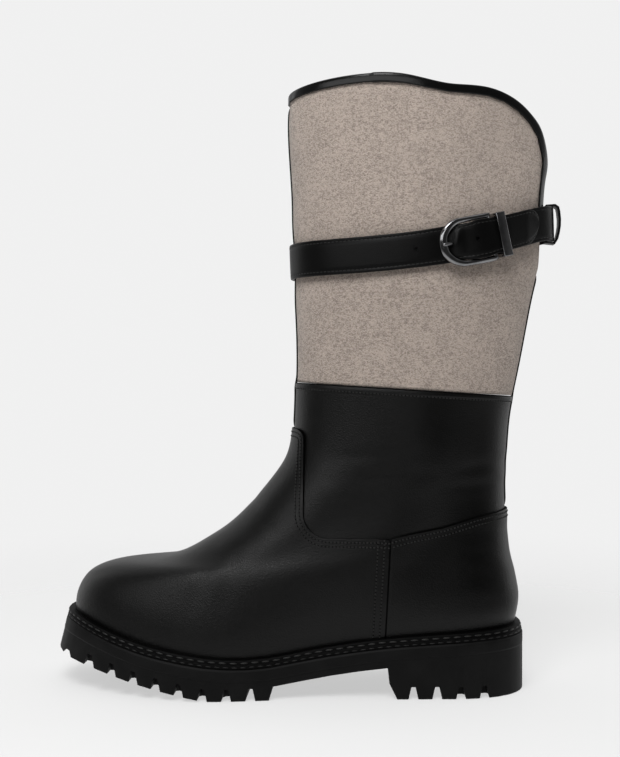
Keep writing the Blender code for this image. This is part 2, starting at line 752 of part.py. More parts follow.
def strap_stations():
    """Angles along the strap with the clearance under it and its half width there."""
    half = STRAP_WIDTH / 2.0
    start = strap_angle(CHAPE_X)
    count = round((math.tau + strap_angle(RISE_X) - start) / STRAP_STEP)
    stations = []
    for k in range(count + 1):
        angle = mix(start, math.tau + strap_angle(RISE_X), k / count)
        stations.append((angle, strap_seat(angle), half))
    tip = [STRAP_TIP_X - half * (1.0 - math.sin(math.radians(a))) for a in STRAP_TIP_TURNS]
    for x in FREE_END_X + tuple(tip):
        angle = strap_angle(x)
        rest = clamp((STRAP_TIP_X - x) / half)
        width = half * math.sqrt(1.0 - (1.0 - rest) ** 2)
        stations.append((angle + math.tau, free_end_seat(x, angle), width))
    return stations


def make_strap(collection, cutters, material):
    """One leather strip round the shaft. Its free end lies over its start, through the buckle."""
    sections = []
    for angle, seat, half in strap_stations():
        low, out, up = strap_frame(angle, seat)
        bevel = min(STRAP_BEVEL, STRAP_BEVEL_SHARE * half)
        profile = ((0.0, -half), (STRAP_THICK - bevel, -half), (STRAP_THICK, -half + bevel),
                   (STRAP_THICK, half - bevel), (STRAP_THICK - bevel, half), (0.0, half))
        sections.append([low + out * lift + up * side for lift, side in profile])
    strap = make_object("strap", loft(sections), collection, material)
    ends = []
    for lift in (0.0, 2.0 * FRAME_LIFT):
        low, out, up = strap_frame(strap_angle(SLOT_X), lift)
        run = out.cross(up) * SLOT_LENGTH / 2.0
        turns = [math.tau * k / SLOT_SIDES for k in range(SLOT_SIDES)]
        ends.append([low + run * math.cos(a) + up * (SLOT_WIDTH / 2.0 * math.sin(a)) for a in turns])
    cutter = make_object("prong_hole", loft(ends), cutters)
    cutter.hide_render = True
    cutter.display_type = "WIRE"
    hole = strap.modifiers.new("prong_hole", "BOOLEAN")
    hole.operation = "DIFFERENCE"
    hole.object = cutter
    return strap


def wire(stations, closed, sides=8):
    """Wire along stations: a point, the outward direction there, half width and half thickness."""
    count = len(stations)
    sections = []
    for k, (point, out, wide, thick) in enumerate(stations):
        before = stations[k - 1][0] if closed or k else point
        after = stations[(k + 1) % count][0] if closed or k < count - 1 else point
        run = (after - before).normalized()
        across = run.cross(out).normalized()
        over = run.cross(across)
        turns = [math.tau * m / sides for m in range(sides)]
        sections.append([point + across * wide * math.cos(a) + over * thick * math.sin(a) for a in turns])
    return loft(sections, closed=closed)


def make_buckle(collection, metal):
    """D shaped frame with its bar under the free end, a prong on it and a keeper behind it."""
    half = STRAP_WIDTH / 2.0 + FRAME_CLEAR + RAIL_WIDE
    bar = [(BAR_X, share * half, BAR_RADIUS, BAR_RADIUS) for share in BAR_SHARES]
    straight = (BAR_X - BAR_RADIUS / 2.0, BOW_X + BOW_ROUND + FRAME_CORNER)
    upper = [(x, half, RAIL_WIDE, FRAME_THICK) for x in straight]
    for degrees in BOW_TURNS:
        along, side = math.cos(math.radians(degrees)), math.sin(math.radians(degrees))
        upper.append((BOW_X + BOW_ROUND * (1.0 - along), half * side, mix(RAIL_WIDE, BOW_WIDE, along),
                      FRAME_THICK))
    outline = bar + upper + [(x, -side, wide, thick) for x, side, wide, thick in reversed(upper)]
    stations = []
    for x, side, wide, thick in outline:
        low, out, up = strap_frame(strap_angle(x), FRAME_LIFT)
        stations.append((low + up * side, out, wide, thick))
    make_object("buckle_frame", wire(stations, closed=True), collection, metal)

    root_x = BAR_X - BAR_RADIUS - GAP - PRONG_RADIUS
    over_bow = FRAME_LIFT + FRAME_THICK + GAP + PRONG_RADIUS
    route = ((root_x, FRAME_LIFT, PRONG_RADIUS), (PRONG_BEND_X, FRAME_LIFT, PRONG_RADIUS),
             (mix(PRONG_BEND_X, BOW_X, 0.5), mix(FRAME_LIFT, over_bow, 0.4), PRONG_RADIUS),
             (BOW_X + PRONG_RADIUS, over_bow, PRONG_RADIUS),
             (PRONG_TIP_X, over_bow - PRONG_DROOP, PRONG_TIP_RADIUS))
    stations = []
    for x, lift, radius in route:
        low, out, _ = strap_frame(strap_angle(x), lift)
        stations.append((low, out, radius, radius))
    make_object("buckle_prong", wire(stations, closed=False), collection, metal)

    lap = max(free_end_seat(x, strap_angle(x)) for x in KEEPER_X) + STRAP_THICK + GAP
    inside = STRAP_WIDTH / 2.0 + GAP
    sections = []
    for lift, side, plate in ((KEEPER_FOOT, -1, 0), (lap, -1, 1), (lap, 1, 1), (KEEPER_FOOT, 1, 0)):
        corners = []
        for x in KEEPER_X:
            for deep in (0, 1):
                height = lift + plate * deep * KEEPER_PLATE + (1 - plate) * (1 - deep) * KEEPER_PLATE
                low, _, up = strap_frame(strap_angle(x), height)
                corners.append(low + up * side * (inside + deep * KEEPER_SIDE))
        sections.append([corners[0], corners[1], corners[3], corners[2]])
    make_object("keeper", loft(sections, closed=True), collection, metal)


def make_back_loop(collection, material):
    """Closed leather loop round the strap behind the shaft."""
    base, out, up = strap_frame(math.pi, 0.0)
    across = Vector((0.0, LOOP_WIDTH / 2.0, 0.0))
    points = [base + out * lift + up * side for lift, side in LOOP_ROUTE]
    sections = []
    for k, point in enumerate(points):
        run = (points[(k + 1) % len(points)] - points[k - 1]).normalized()
        away = run.cross(across).normalized() * LOOP_THICK / 2.0
        sections.append([point - away - across, point + away - across, point + away + across,
                         point - away + across])
    return make_object("back_loop", loft(sections, closed=True), collection, material)


def main():
    for old in list(bpy.data.objects):
        bpy.data.objects.remove(old, do_unlink=True)
    boot = make_collection("winter_boot")
    cutters = make_collection("cutters")
    leather = make_finish("black_leather", (0.012, 0.012, 0.012), 0.42)
    felt = make_finish("beige_felt", (0.39, 0.33, 0.29), 0.95)
    rubber = make_finish("black_rubber", (0.010, 0.010, 0.010), 0.60)
    board = make_finish("insole_board", (0.45, 0.36, 0.26), 0.80)
    metal = make_finish("dark_chrome", (0.35, 0.35, 0.37), 0.20, 1.0)
    make_outsole(boot, rubber)
    make_welt(boot, leather)
    make_insole(boot, board)
    make_upper(boot, leather)
    make_overlays(boot, cutters, leather)
    make_shaft(boot, felt)
    make_binding(boot, leather)
    make_pipings(boot, leather)
    make_strap(boot, cutters, leather)
    make_buckle(boot, metal)
    make_back_loop(boot, leather)


main()
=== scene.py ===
# %% [markdown]
# A winter boot in felt and leather, dressed over its solids.
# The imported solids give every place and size. This lesson copies them, smooths them, cuts the
# leather panels out of the smooth shapes and adds what a boot maker adds last: thread, grain,
# nap and polish. Lengths are written in millimetres times MM, because Blender works in metres.

# %% Frame
import json
import math

import bmesh
import bpy
import numpy as np
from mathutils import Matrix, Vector
from mathutils.bvhtree import BVHTree

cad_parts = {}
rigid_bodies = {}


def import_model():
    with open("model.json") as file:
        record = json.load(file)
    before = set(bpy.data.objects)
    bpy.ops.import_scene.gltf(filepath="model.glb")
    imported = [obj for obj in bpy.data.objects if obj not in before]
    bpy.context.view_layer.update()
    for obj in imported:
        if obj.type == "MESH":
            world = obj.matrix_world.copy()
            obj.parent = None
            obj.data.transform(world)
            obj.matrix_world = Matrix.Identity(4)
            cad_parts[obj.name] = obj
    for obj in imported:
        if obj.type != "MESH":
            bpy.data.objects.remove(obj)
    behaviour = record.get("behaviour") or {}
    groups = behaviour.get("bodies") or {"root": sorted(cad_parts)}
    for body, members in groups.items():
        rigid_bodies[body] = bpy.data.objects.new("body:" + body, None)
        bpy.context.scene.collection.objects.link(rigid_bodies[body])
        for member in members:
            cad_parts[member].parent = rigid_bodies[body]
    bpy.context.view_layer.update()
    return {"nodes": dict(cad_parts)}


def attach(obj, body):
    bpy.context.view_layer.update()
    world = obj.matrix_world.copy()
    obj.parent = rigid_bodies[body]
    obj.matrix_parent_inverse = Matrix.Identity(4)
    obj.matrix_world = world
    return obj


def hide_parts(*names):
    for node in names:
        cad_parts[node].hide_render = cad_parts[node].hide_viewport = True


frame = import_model()
MM = 0.001

# %% [markdown]
# The camera stands level with the middle of the boot and looks square at its outer side, turned
# by three degrees. A long lens keeps toe and heel at nearly one scale, as in a shop's picture.

# %% Camera
CAMERA_PLACE = Vector((37.4, -699.0, 184.5)) * MM
CAMERA_TURN = math.radians(3.0)
LENS = 54.56

bpy.ops.object.camera_add(location=CAMERA_PLACE, rotation=(math.pi / 2, 0.0, CAMERA_TURN))
camera = bpy.context.object
camera.name = "camera"
camera.data.lens = LENS
camera.data.clip_start = 10 * MM
bpy.context.scene.camera = camera
print("camera", [round(v, 4) for v in camera.location])

# %% [markdown]
# Black leather is drawn by what it mirrors. A pale room behind the boot lights its edges, and a
# darker room in front keeps the middle of the leather black. The sky colour therefore runs from
# pale behind to grey in front, with light from below as a pale floor gives back, while the camera
# itself sees one even backdrop. Shine and brightness are set apart: the front light makes no
# shine, and the two cards make nothing else.

# %% Backdrop and lights
BACKDROP = 0.875

# Direction where a part of the room starts and where it is full, and the brightness at each
ROOM_AHEAD_TO_BEHIND = (-0.6, 0.7, 0.06, 0.52)
ROOM_BELOW = (-0.18, -0.42, 0.0, 0.7)

scene = bpy.context.scene
scene.view_settings.view_transform = "Standard"
world = bpy.data.worlds.new("studio")
scene.world = world
world.use_nodes = True
sky = world.node_tree
sky.nodes.clear()


def sky_ramp(values):
    """Node that turns a direction into a brightness."""
    made = sky.nodes.new("ShaderNodeMapRange")
    for key, value in zip(("From Min", "From Max", "To Min", "To Max"), values):
        made.inputs[key].default_value = value
    return made


place = sky.nodes.new("ShaderNodeTexCoord")
split = sky.nodes.new("ShaderNodeSeparateXYZ")
ramp = sky_ramp(ROOM_AHEAD_TO_BEHIND)
below = sky_ramp(ROOM_BELOW)
room = sky.nodes.new("ShaderNodeMath")
room.operation = "MAXIMUM"
rays = sky.nodes.new("ShaderNodeLightPath")
seen = sky.nodes.new("ShaderNodeMix")
seen.inputs["B"].default_value = BACKDROP
glow = sky.nodes.new("ShaderNodeBackground")
out = sky.nodes.new("ShaderNodeOutputWorld")
sky.links.new(place.outputs["Generated"], split.inputs[0])
sky.links.new(split.outputs["Y"], ramp.inputs["Value"])
sky.links.new(split.outputs["Z"], below.inputs["Value"])
sky.links.new(ramp.outputs["Result"], room.inputs[0])
sky.links.new(below.outputs["Result"], room.inputs[1])
sky.links.new(rays.outputs["Is Camera Ray"], seen.inputs["Factor"])
sky.links.new(room.outputs["Value"], seen.inputs["A"])
sky.links.new(seen.outputs[0], glow.inputs["Color"])
sky.links.new(glow.outputs[0], out.inputs["Surface"])


def softbox(name, location, aim, size, power):
    """Large soft light that looks at a point."""
    bpy.ops.object.light_add(type="AREA", location=location)
    light = bpy.context.object
    light.name = name
    light.data.shape = "RECTANGLE"
    light.data.size, light.data.size_y = size
    light.data.energy = power
    light.rotation_euler = (Vector(aim) - Vector(location)).to_track_quat("-Z", "Y").to_euler()
    return light


softbox("overhead", (-0.1, 0.1, 1.9), (0.0, 0.0, 0.1), (1.8, 1.8), 6.0)
front_light = softbox("front", (-0.10, -0.74, 1.06), (0.05, 0.0, 0.28), (0.6, 0.6), 10.2)
front_light.visible_glossy = False
sheen_card = softbox("sheen_card", (-0.6, -1.2, 0.60), (-0.05, 0.0, 0.06), (1.5, 0.5), 5.5)
sheen_card.visible_diffuse = False
glint_card = softbox("glint_card", (-0.2, -0.74, 1.02), (0.0, 0.0, 0.2), (0.4, 0.4), 4.6)
glint_card.visible_diffuse = False
softbox("rim_left", (-1.3, 0.7, 0.5), (-0.05, 0.0, 0.12), (0.5, 1.3), 1.5)
softbox("rim_right", (1.3, 0.6, 0.5), (0.1, 0.0, 0.2), (0.5, 1.3), 2.4)

# %% [markdown]
# Nodes are quick to wire by formula. A Wire holds one socket of a material: sums and products of
# wires become Math nodes, and its node method adds any other node with its settings and inputs.

# %% Wires


class Wire:
    """Socket of a material's node tree."""

    def __init__(self, tree, socket=None):
        self.tree = tree
        self.socket = socket

    def node(self, kind, settings=None, inputs=None, out=0):
        made = self.tree.nodes.new("ShaderNode" + kind)
        for key, value in (settings or {}).items():
            setattr(made, key, value)
        for key, value in (inputs or {}).items():
            if isinstance(value, Wire):
                self.tree.links.new(value.socket, made.inputs[key])
            elif isinstance(value, tuple) and made.inputs[key].type == "RGBA":
                made.inputs[key].default_value = (*value, 1.0)
            else:
                made.inputs[key].default_value = value
        return Wire(self.tree, made.outputs[out])

    def math(self, operation, *values):
        return self.node("Math", {"operation": operation}, dict(enumerate(values)))

    def tint(self, low, high):
        """Colour between two colours by this value."""
        return self.node("Mix", {"data_type": "RGBA"}, {0: self, 6: low, 7: high}, out=2)

    def between(self, low, high):
        """This value stretched so that low becomes 0 and high becomes 1."""
        return self.node("MapRange", {"interpolation_type": "SMOOTHSTEP"},
                         {"Value": self, "From Min": low, "From Max": high})

    def __add__(self, other):
        return self.math("ADD", self, other)

    def __sub__(self, other):
        return self.math("SUBTRACT", self, other)

    def __rsub__(self, other):
        return self.math("SUBTRACT", other, self)

    def __mul__(self, other):
        return self.math("MULTIPLY", self, other)

    __radd__ = __add__
    __rmul__ = __mul__


def new_finish(name, **fixed):
    """Material with constants on its shader, and the wires to start from."""
    material = bpy.data.materials.new(name)
    material.use_nodes = True
    tree = material.node_tree
    shader = tree.nodes["Principled BSDF"]
    for key, value in fixed.items():
        socket = shader.inputs[key.replace("_", " ")]
        socket.default_value = (*value, 1.0) if isinstance(value, tuple) else value
    start = Wire(tree)
    return material, shader, start, start.node("TexCoord", out="Object")


def join_up(shader, start, colour, roughness=None, height=None, relief=None):
    """Wires a finish's colour, roughness and relief to its shader."""
    links = {"Base Color": colour, "Roughness": roughness}
    if height:
        links["Normal"] = start.node("Bump", None, {"Strength": 1.0, "Distance": relief,
                                                    "Height": height})
    for key, wire in links.items():
        if wire:
            start.tree.links.new(wire.socket, shader.inputs[key])


def noise(start, place, size, detail=2.0, stretch=(1.0, 1.0, 1.0)):
    """Cloudy value from 0 to 1 with spots of about a size."""
    place = start.node("VectorMath", {"operation": "MULTIPLY"}, {0: place, 1: stretch})
    return start.node("TexNoise", None, {"Vector": place, "Scale": 1.0 / size, "Detail": detail})


print("wires ready")

# %% [markdown]
# Smooth box calf is black, nearly flat, and broken by fine pebbles about a millimetre apart. The
# pebbles are cells of a Voronoi pattern, with a finer noise for pores, and both are only relief.

# %% Leathers


def leather(name, tone, roughness, grain, relief, gloss):
    """Calf with pebbles of a size, pressed to a depth."""
    material, shader, start, place = new_finish(name, Specular_IOR_Level=gloss)
    cells = start.node("TexVoronoi", {"feature": "SMOOTH_F1"},
                       {"Vector": place, "Scale": 1.0 / grain, "Smoothness": 0.4})
    pores = noise(start, place, 0.35 * grain)
    patches = noise(start, place, 22 * MM, 3.0)
    dark = tuple(0.9 * v for v in tone)
    light = tuple(1.15 * v for v in tone)
    join_up(shader, start, patches.between(0.3, 0.7).tint(dark, light),
            roughness + (patches - 0.5) * 0.05 + (pores - 0.5) * 0.12,
            cells * 0.7 + pores * 0.5, relief)
    return material


panel_leather = leather("panel_calf", (0.0018, 0.0018, 0.0017), 0.31, 0.80 * MM, 0.16 * MM, 0.25)
trim_leather = leather("trim_calf", (0.0040, 0.0040, 0.0040), 0.19, 0.80 * MM, 0.02 * MM, 0.26)
strap_leather = leather("strap_calf", (0.0024, 0.0024, 0.0024), 0.34, 0.70 * MM, 0.07 * MM, 0.13)
# The welt's calf is darker than the panels: painted shade under the overhang of the upper.
welt_leather = leather("shaded_welt_calf", (0.0012, 0.0012, 0.0012), 0.50, 0.60 * MM, 0.03 * MM, 0.08)
# Edge finish: edge ink, and painted shade where it is darker than the leather, along lifted edges, at the
# band's turn and in each needle's hole.
edge_ink_and_painted_shade = leather("edge_ink_and_painted_shade", (0.0007, 0.0007, 0.0007), 0.60, 0.60 * MM, 0.02 * MM, 0.03)
print("leathers", len(bpy.data.materials))

# %% [markdown]
# Wool felt is a mat of fibres in two or three shades. Each shade is a noise of its own: large
# soft clouds, small tufts, and fine flecks drawn out along the height of the shaft.

# %% Felt and lining


def heather(name, pale, mid, dark, relief):
    """Wool in three shades, with a nap of a depth."""
    material, shader, start, place = new_finish(name, Roughness=0.95, Specular_IOR_Level=0.1,
                                                Sheen_Weight=0.2, Sheen_Roughness=0.6)
    clouds = noise(start, place, 12 * MM, 3.0)
    tufts = noise(start, place, 2.2 * MM, 2.0, (1.0, 1.0, 1.5))
    flecks = noise(start, place, 0.75 * MM, 2.0, (0.8, 0.8, 1.6))
    fibres = noise(start, place, 0.42 * MM, 1.0, (0.5, 0.5, 1.6))
    shade = clouds * 0.12 + tufts * 0.34 + flecks * 0.54
    body = shade.between(0.40, 0.585).tint(dark, mid)
    light = fibres.between(0.50, 0.70) * 0.75
    worsted = start.node("Mix", {"data_type": "RGBA"}, {0: light, 6: body, 7: pale}, out=2)
    specks = flecks.between(0.58, 0.74) * tufts.between(0.45, 0.65) * 0.55
    colour = start.node("Mix", {"data_type": "RGBA"}, {0: specks, 6: worsted, 7: dark}, out=2)
    join_up(shader, start, colour, None, tufts * 0.5 + flecks * 0.8 + fibres * 0.5, relief)
    return material


felt = heather("heathered_felt", (0.66, 0.565, 0.495), (0.52, 0.437, 0.380), (0.27, 0.222, 0.190),
               0.4 * MM)
lining = heather("fleece_lining", (0.60, 0.52, 0.44), (0.46, 0.39, 0.32), (0.34, 0.28, 0.23),
                 0.5 * MM)
print("felts", felt.name, lining.name)

# %% [markdown]
# The sole is moulded rubber: matt, faintly mottled and a little dusty. The buckle is dark plated
# metal with a soft polish, and the thread is waxed, so that it glints where it turns.

# %% Rubber, metal and thread


def moulded_rubber():
    material, shader, start, place = new_finish("moulded_rubber", Specular_IOR_Level=0.1)
    mottle = noise(start, place, 16 * MM, 4.0)
    skin = noise(start, place, 0.5 * MM, 2.0)
    join_up(shader, start, mottle.between(0.3, 0.75).tint((0.0052,) * 3, (0.0084,) * 3),
            0.52 + (mottle - 0.5) * 0.15, skin, 0.03 * MM)
    return material


def plated_metal():
    material, shader, start, place = new_finish("plated_metal", Metallic=1.0)
    clouds = noise(start, place, 4 * MM, 3.0)
    scratches = noise(start, place, 0.4 * MM, 2.0, (0.2, 1.0, 1.0))
    join_up(shader, start, clouds.between(0.3, 0.7).tint((0.20, 0.20, 0.205), (0.28, 0.28, 0.285)),
            0.07 + scratches * 0.10, scratches, 0.003 * MM)
    return material


def thread(name, tone):
    material, shader, start, place = new_finish(name, Specular_IOR_Level=0.4)
    ply = noise(start, place, 0.25 * MM)
    join_up(shader, start, ply.tint(tuple(0.6 * v for v in tone), tuple(1.4 * v for v in tone)),
            0.36 + ply * 0.2, ply, 0.05 * MM)
    return material


def insole_board():
    material, shader, start, place = new_finish("fibre_board", Roughness=0.85)
    weave = noise(start, place, 0.8 * MM, 3.0)
    join_up(shader, start, weave.tint((0.36, 0.28, 0.20), (0.52, 0.43, 0.32)), None, weave,
            0.2 * MM)
    return material


rubber = moulded_rubber()
metal = plated_metal()
black_thread = thread("black_thread", (0.010, 0.010, 0.0095))
welt_thread = thread("welt_thread", (0.014, 0.014, 0.0133))
edge_thread = thread("edge_thread", (0.005, 0.005, 0.0048))
board = insole_board()
print("finishes", len(bpy.data.materials))

# %% [markdown]
# Each dressed piece starts as a copy of its solid. A copy is loose triangles, so its corners are
# merged and the triangles joined back to the rows and columns that the solid was made of.

# %% Copies of the solids


def pick(piece):
    """Makes a piece the only selected one."""
    bpy.ops.object.select_all(action="DESELECT")
    piece.select_set(True)
    bpy.context.view_layer.objects.active = piece


def in_edit(piece, *steps):
    """Runs edit mode steps on all of a piece."""
    pick(piece)
    bpy.ops.object.mode_set(mode="EDIT")
    bpy.ops.mesh.select_all(action="SELECT")
    for step, settings in steps:
        step(**settings)
    bpy.ops.object.mode_set(mode="OBJECT")


def apply(piece, kind, **settings):
    """Adds a modifier with its settings and applies it."""
    pick(piece)
    modifier = piece.modifiers.new(kind.lower(), kind)
    for key, value in settings.items():
        setattr(modifier, key, value)
    bpy.ops.object.modifier_apply(modifier=modifier.name)


def new_piece(name, mesh, *finishes):
    piece = bpy.data.objects.new(name, mesh)
    scene.collection.objects.link(piece)
    mesh.materials.clear()
    for finish in finishes:
        mesh.materials.append(finish)
    return piece


def copy_of(node, name, *finishes):
    """Copy of a solid with its corners merged and its faces in quads."""
    piece = new_piece(name, frame["nodes"][node].data.copy(), *finishes)
    mesh = bpy.ops.mesh
    in_edit(piece, (mesh.customdata_custom_splitnormals_clear, {}),
            (mesh.remove_doubles, {"threshold": 0.002 * MM}),
            (mesh.tris_convert_to_quads, {"face_threshold": math.pi, "shape_threshold": math.pi,
                                          "topology_influence": 1.0}))
    bpy.ops.object.shade_smooth()
    return piece


def skin_of(piece):
    """Surface of a piece that rays can be cast at."""
    return BVHTree.FromPolygons(points_of(piece.data).tolist(),
                                [face.vertices[:] for face in piece.data.polygons])


def points_of(mesh):
    flat = np.empty(len(mesh.vertices) * 3)
    mesh.vertices.foreach_get("co", flat)
    return flat.reshape(-1, 3)


def normals_of(mesh):
    return np.array([v.normal for v in mesh.vertices])


def set_points(mesh, points):
    mesh.vertices.foreach_set("co", np.asarray(points, float).ravel())
    mesh.update()


def smooth_through(piece, levels):
    """Subdivides a piece so that the smooth surface passes through its own points."""
    goal = points_of(piece.data)
    modifier = piece.modifiers.new("smooth", "SUBSURF")
    modifier.levels = modifier.render_levels = 1
    for _ in range(8):
        shaped = piece.evaluated_get(bpy.context.evaluated_depsgraph_get())
        miss = goal - points_of(shaped.data)[:len(goal)]
        set_points(piece.data, points_of(piece.data) + miss)
    piece.modifiers.remove(modifier)
    apply(piece, "SUBSURF", levels=levels, render_levels=levels)
    return np.abs(miss).max() / MM


def crease_sharp(piece, angle):
    """Keeps the edges of a piece that are sharper than an angle when it is subdivided."""
    pick(piece)
    bpy.ops.object.mode_set(mode="EDIT")
    bpy.ops.mesh.select_all(action="DESELECT")
    bpy.ops.mesh.edges_select_sharp(sharpness=angle)
    bpy.ops.transform.edge_crease(value=1.0)
    bpy.ops.object.mode_set(mode="OBJECT")


def round_edges(piece, width, segments, degrees=40.0):
    """Rounds the edges of a piece that are sharper than an angle."""
    apply(piece, "BEVEL", width=width * MM, segments=segments, limit_method="ANGLE",
          angle_limit=math.radians(degrees))


def shade_by_angle(degrees=40.0):
    """Shades the selected piece smooth, apart from edges sharper than an angle."""
    bpy.ops.object.shade_smooth_by_angle(angle=math.radians(degrees))


def keep(piece, slot, *nodes):
    """Lets a finished piece ride with the boot, in place of some solids."""
    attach(piece, "root")
    if nodes:
        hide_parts(*nodes)
    triangles = sum(len(face.vertices) - 2 for face in piece.data.polygons)
    print(piece.name, triangles, "triangles")


print("copies come from", len(frame["nodes"]), "nodes")

# %% [markdown]
# Upper and shaft are hollow walls. Split at their sharp rims, each falls into an outer and an
# inner sheet. The outer sheet is smoothed, worked on, and gets its wall back by Solidify.

# %% Outer sheets
RIM_ANGLE = math.radians(50.0)
FINE = 3


def outer_sheet(node, name, levels, *finishes):
    """Smooth outer side of a hollow solid."""
    whole = copy_of(node, name, *finishes)
    pick(whole)
    bpy.ops.object.mode_set(mode="EDIT")
    bpy.ops.mesh.select_all(action="DESELECT")
    bpy.ops.mesh.edges_select_sharp(sharpness=RIM_ANGLE)
    bpy.ops.mesh.edge_split(type="EDGE")
    bpy.ops.mesh.separate(type="LOOSE")
    bpy.ops.object.mode_set(mode="OBJECT")
    sheets = sorted(bpy.context.selected_objects,
                    key=lambda piece: sum(face.area for face in piece.data.polygons))
    for sheet in sheets[:-1]:
        bpy.data.objects.remove(sheet)
    outer = sheets[-1]
    outer.name = name
    miss = smooth_through(outer, levels)
    print(name, "outer sheet", len(outer.data.polygons), "faces, off by", round(miss, 3), "mm")
    return outer


upper = outer_sheet("upper", "ankle_panel", FINE, panel_leather, lining)
shaft = outer_sheet("shaft", "felt_shaft", FINE, felt, lining)

# %% [markdown]
# The ankle panel ends in a narrow folded band under the felt. Bisecting the sheet along the felt
# line gives rows of points just where the fold needs them, and these rows are then pushed out.
# The row that rolls over to the felt takes the dark matt edge finish, so that it doesn't shine: painted
# shade where the band turns in under the felt.
# Soft creases come from use: a short row of troughs, each with its place, run, width and depth.

# %% Ankle panel
FELT_FRONT = Vector((-7.6, 0.0, 182.0)) * MM
FELT_BACK = Vector((122.8, 0.0, 174.0)) * MM
FELT_UP = (FELT_BACK - FELT_FRONT).cross(Vector((0.0, 1.0, 0.0))).normalized()
BAND = 2.6
BAND_FALL = 0.7
BAND_RISE = 0.45
ROLL = 0.4
ROLL_SHARE = 0.4
RIDGE = 0.7
EDGE_SLOT = 2
LEATHER = 1.8 * MM

# Middle of each crease in the side view, its tilt in degrees, half run, half width and depth
CREASES = [
    (108.0, 134.0, 8.0, 20.0, 4.5, 0.30),
    (106.0, 122.0, 2.0, 22.0, 4.0, 0.22),
    (6.0, 128.0, -22.0, 18.0, 4.5, 0.08),
    (-28.0, 106.0, -48.0, 16.0, 5.0, 0.22),
    (50.0, 128.0, 4.0, 26.0, 5.0, 0.22),
    (42.0, 140.0, 2.0, 24.0, 4.0, 0.18),
    (-62.0, 62.0, 68.0, 26.0, 6.0, 0.24),
    (-46.0, 60.0, 74.0, 24.0, 6.0, 0.22),
]


def below_felt(points):
    """Depth of points under the felt line, in millimetres."""
    return (np.array(FELT_FRONT) - points) @ np.array(FELT_UP) / MM


def ease(value):
    value = np.clip(value, 0.0, 1.0)
    return value * value * (3.0 - 2.0 * value)


def in_trough(points, x, z, tilt, run, width):
    """Places along and across a trough in the side view, in its half runs and half widths."""
    turn = math.radians(tilt)
    off = points[:, (0, 2)] / MM - (x, z)
    along = off @ (math.cos(turn), math.sin(turn)) / run
    across = off @ (-math.sin(turn), math.cos(turn)) / width
    return along, across


def crease_depth(points):
    """How far the creases press each point in, in millimetres, with a ridge beside each trough."""
    depth = np.zeros(len(points))
    for *trough, deep in CREASES:
        along, across = in_trough(points, *trough)
        depth += deep * np.exp(-along ** 4) * (1.0 - RIDGE * across ** 2) * np.exp(-across ** 2)
    return depth


for depth in (ROLL, BAND, BAND + BAND_FALL):
    in_edit(upper, (bpy.ops.mesh.bisect, {"plane_co": FELT_FRONT - FELT_UP * depth * MM,
                                          "plane_no": FELT_UP}))
foot_sheet = new_piece("foot_sheet", upper.data.copy(), panel_leather)
points = points_of(upper.data)
depth = below_felt(points)
rolled = ROLL_SHARE + (1.0 - ROLL_SHARE) * ease(depth / ROLL)
band = BAND_RISE * ease((BAND + BAND_FALL - depth) / BAND_FALL) * rolled
push = band - crease_depth(points)
set_points(upper.data, points + normals_of(upper.data) * push[:, None] * MM)
upper_skin = skin_of(upper)
upper.data.materials.append(edge_ink_and_painted_shade)
# The rolled row and the rims get the dark edge finish, painted shade where the band meets the felt.
for face in upper.data.polygons:
    if below_felt(np.array(face.center)) < ROLL:
        face.material_index = EDGE_SLOT
apply(upper, "SOLIDIFY", thickness=LEATHER, offset=-1.0, material_offset=1,
      material_offset_rim=EDGE_SLOT)
keep(upper, "leather", "upper")

# %% [markdown]
# Vamp and counter lie on that same shape. Their edges are drawn once in the side view, with
# straight runs and arcs, and the foot's sheet is trimmed along them. A point close to the line
# moves onto it, other edges are split there, so the cut is clean and can be rounded afterwards.

# %% Panel outlines
VAMP_TOP = 154.7
VAMP_SIDE_X = -1.2
VAMP_LOW = 92.0
VAMP_TOP_RADIUS = 6.0
VAMP_LOW_RADIUS = 14.0
SEAM_TOP_X = 49.0
SEAM_LOW_X = 45.8
SEAM_GAP = 0.3
FAR = 220.0


def arc(x, z, radius, start, end, count=10):
    """Points of an arc in the side view, by its angles in degrees."""
    turns = [math.radians(start + (end - start) * k / count) for k in range(count + 1)]
    return [(x + radius * math.cos(a), z + radius * math.sin(a)) for a in turns]


vamp_edge = [(-FAR, VAMP_TOP)]
vamp_edge += arc(VAMP_SIDE_X - VAMP_TOP_RADIUS, VAMP_TOP - VAMP_TOP_RADIUS, VAMP_TOP_RADIUS, 90, 0)
vamp_edge += arc(VAMP_SIDE_X + VAMP_LOW_RADIUS, VAMP_LOW + VAMP_LOW_RADIUS, VAMP_LOW_RADIUS, 180, 270)
vamp_edge += [(SEAM_TOP_X, VAMP_LOW)]
seam_edge = [(SEAM_TOP_X, VAMP_LOW), (SEAM_LOW_X, 30.0), (SEAM_LOW_X, 0.0)]
counter_edge = [(SEAM_TOP_X + SEAM_GAP, VAMP_LOW), (62.0, 95.0), (80.0, 98.1), (99.0, 103.4), (118.0, 107.0),
                (FAR, 108.0)]
vamp_outline = vamp_edge + seam_edge[1:] + [(-FAR, 0.0)]
counter_outline = [(x + SEAM_GAP, z) for x, z in seam_edge[::-1]] + counter_edge[1:] + [(FAR, 0.0)]


def edge_distance(points, line):
    """Distance of points from a line in the side view, in millimetres."""
    flat = points[:, (0, 2)] / MM
    nearest = np.full(len(flat), np.inf)
    for a, b in zip(np.array(line[:-1]), np.array(line[1:])):
        share = np.clip((flat - a) @ (b - a) / ((b - a) @ (b - a)), 0.0, 1.0)
        nearest = np.minimum(nearest, np.linalg.norm(flat - a - share[:, None] * (b - a), axis=1))
    return nearest


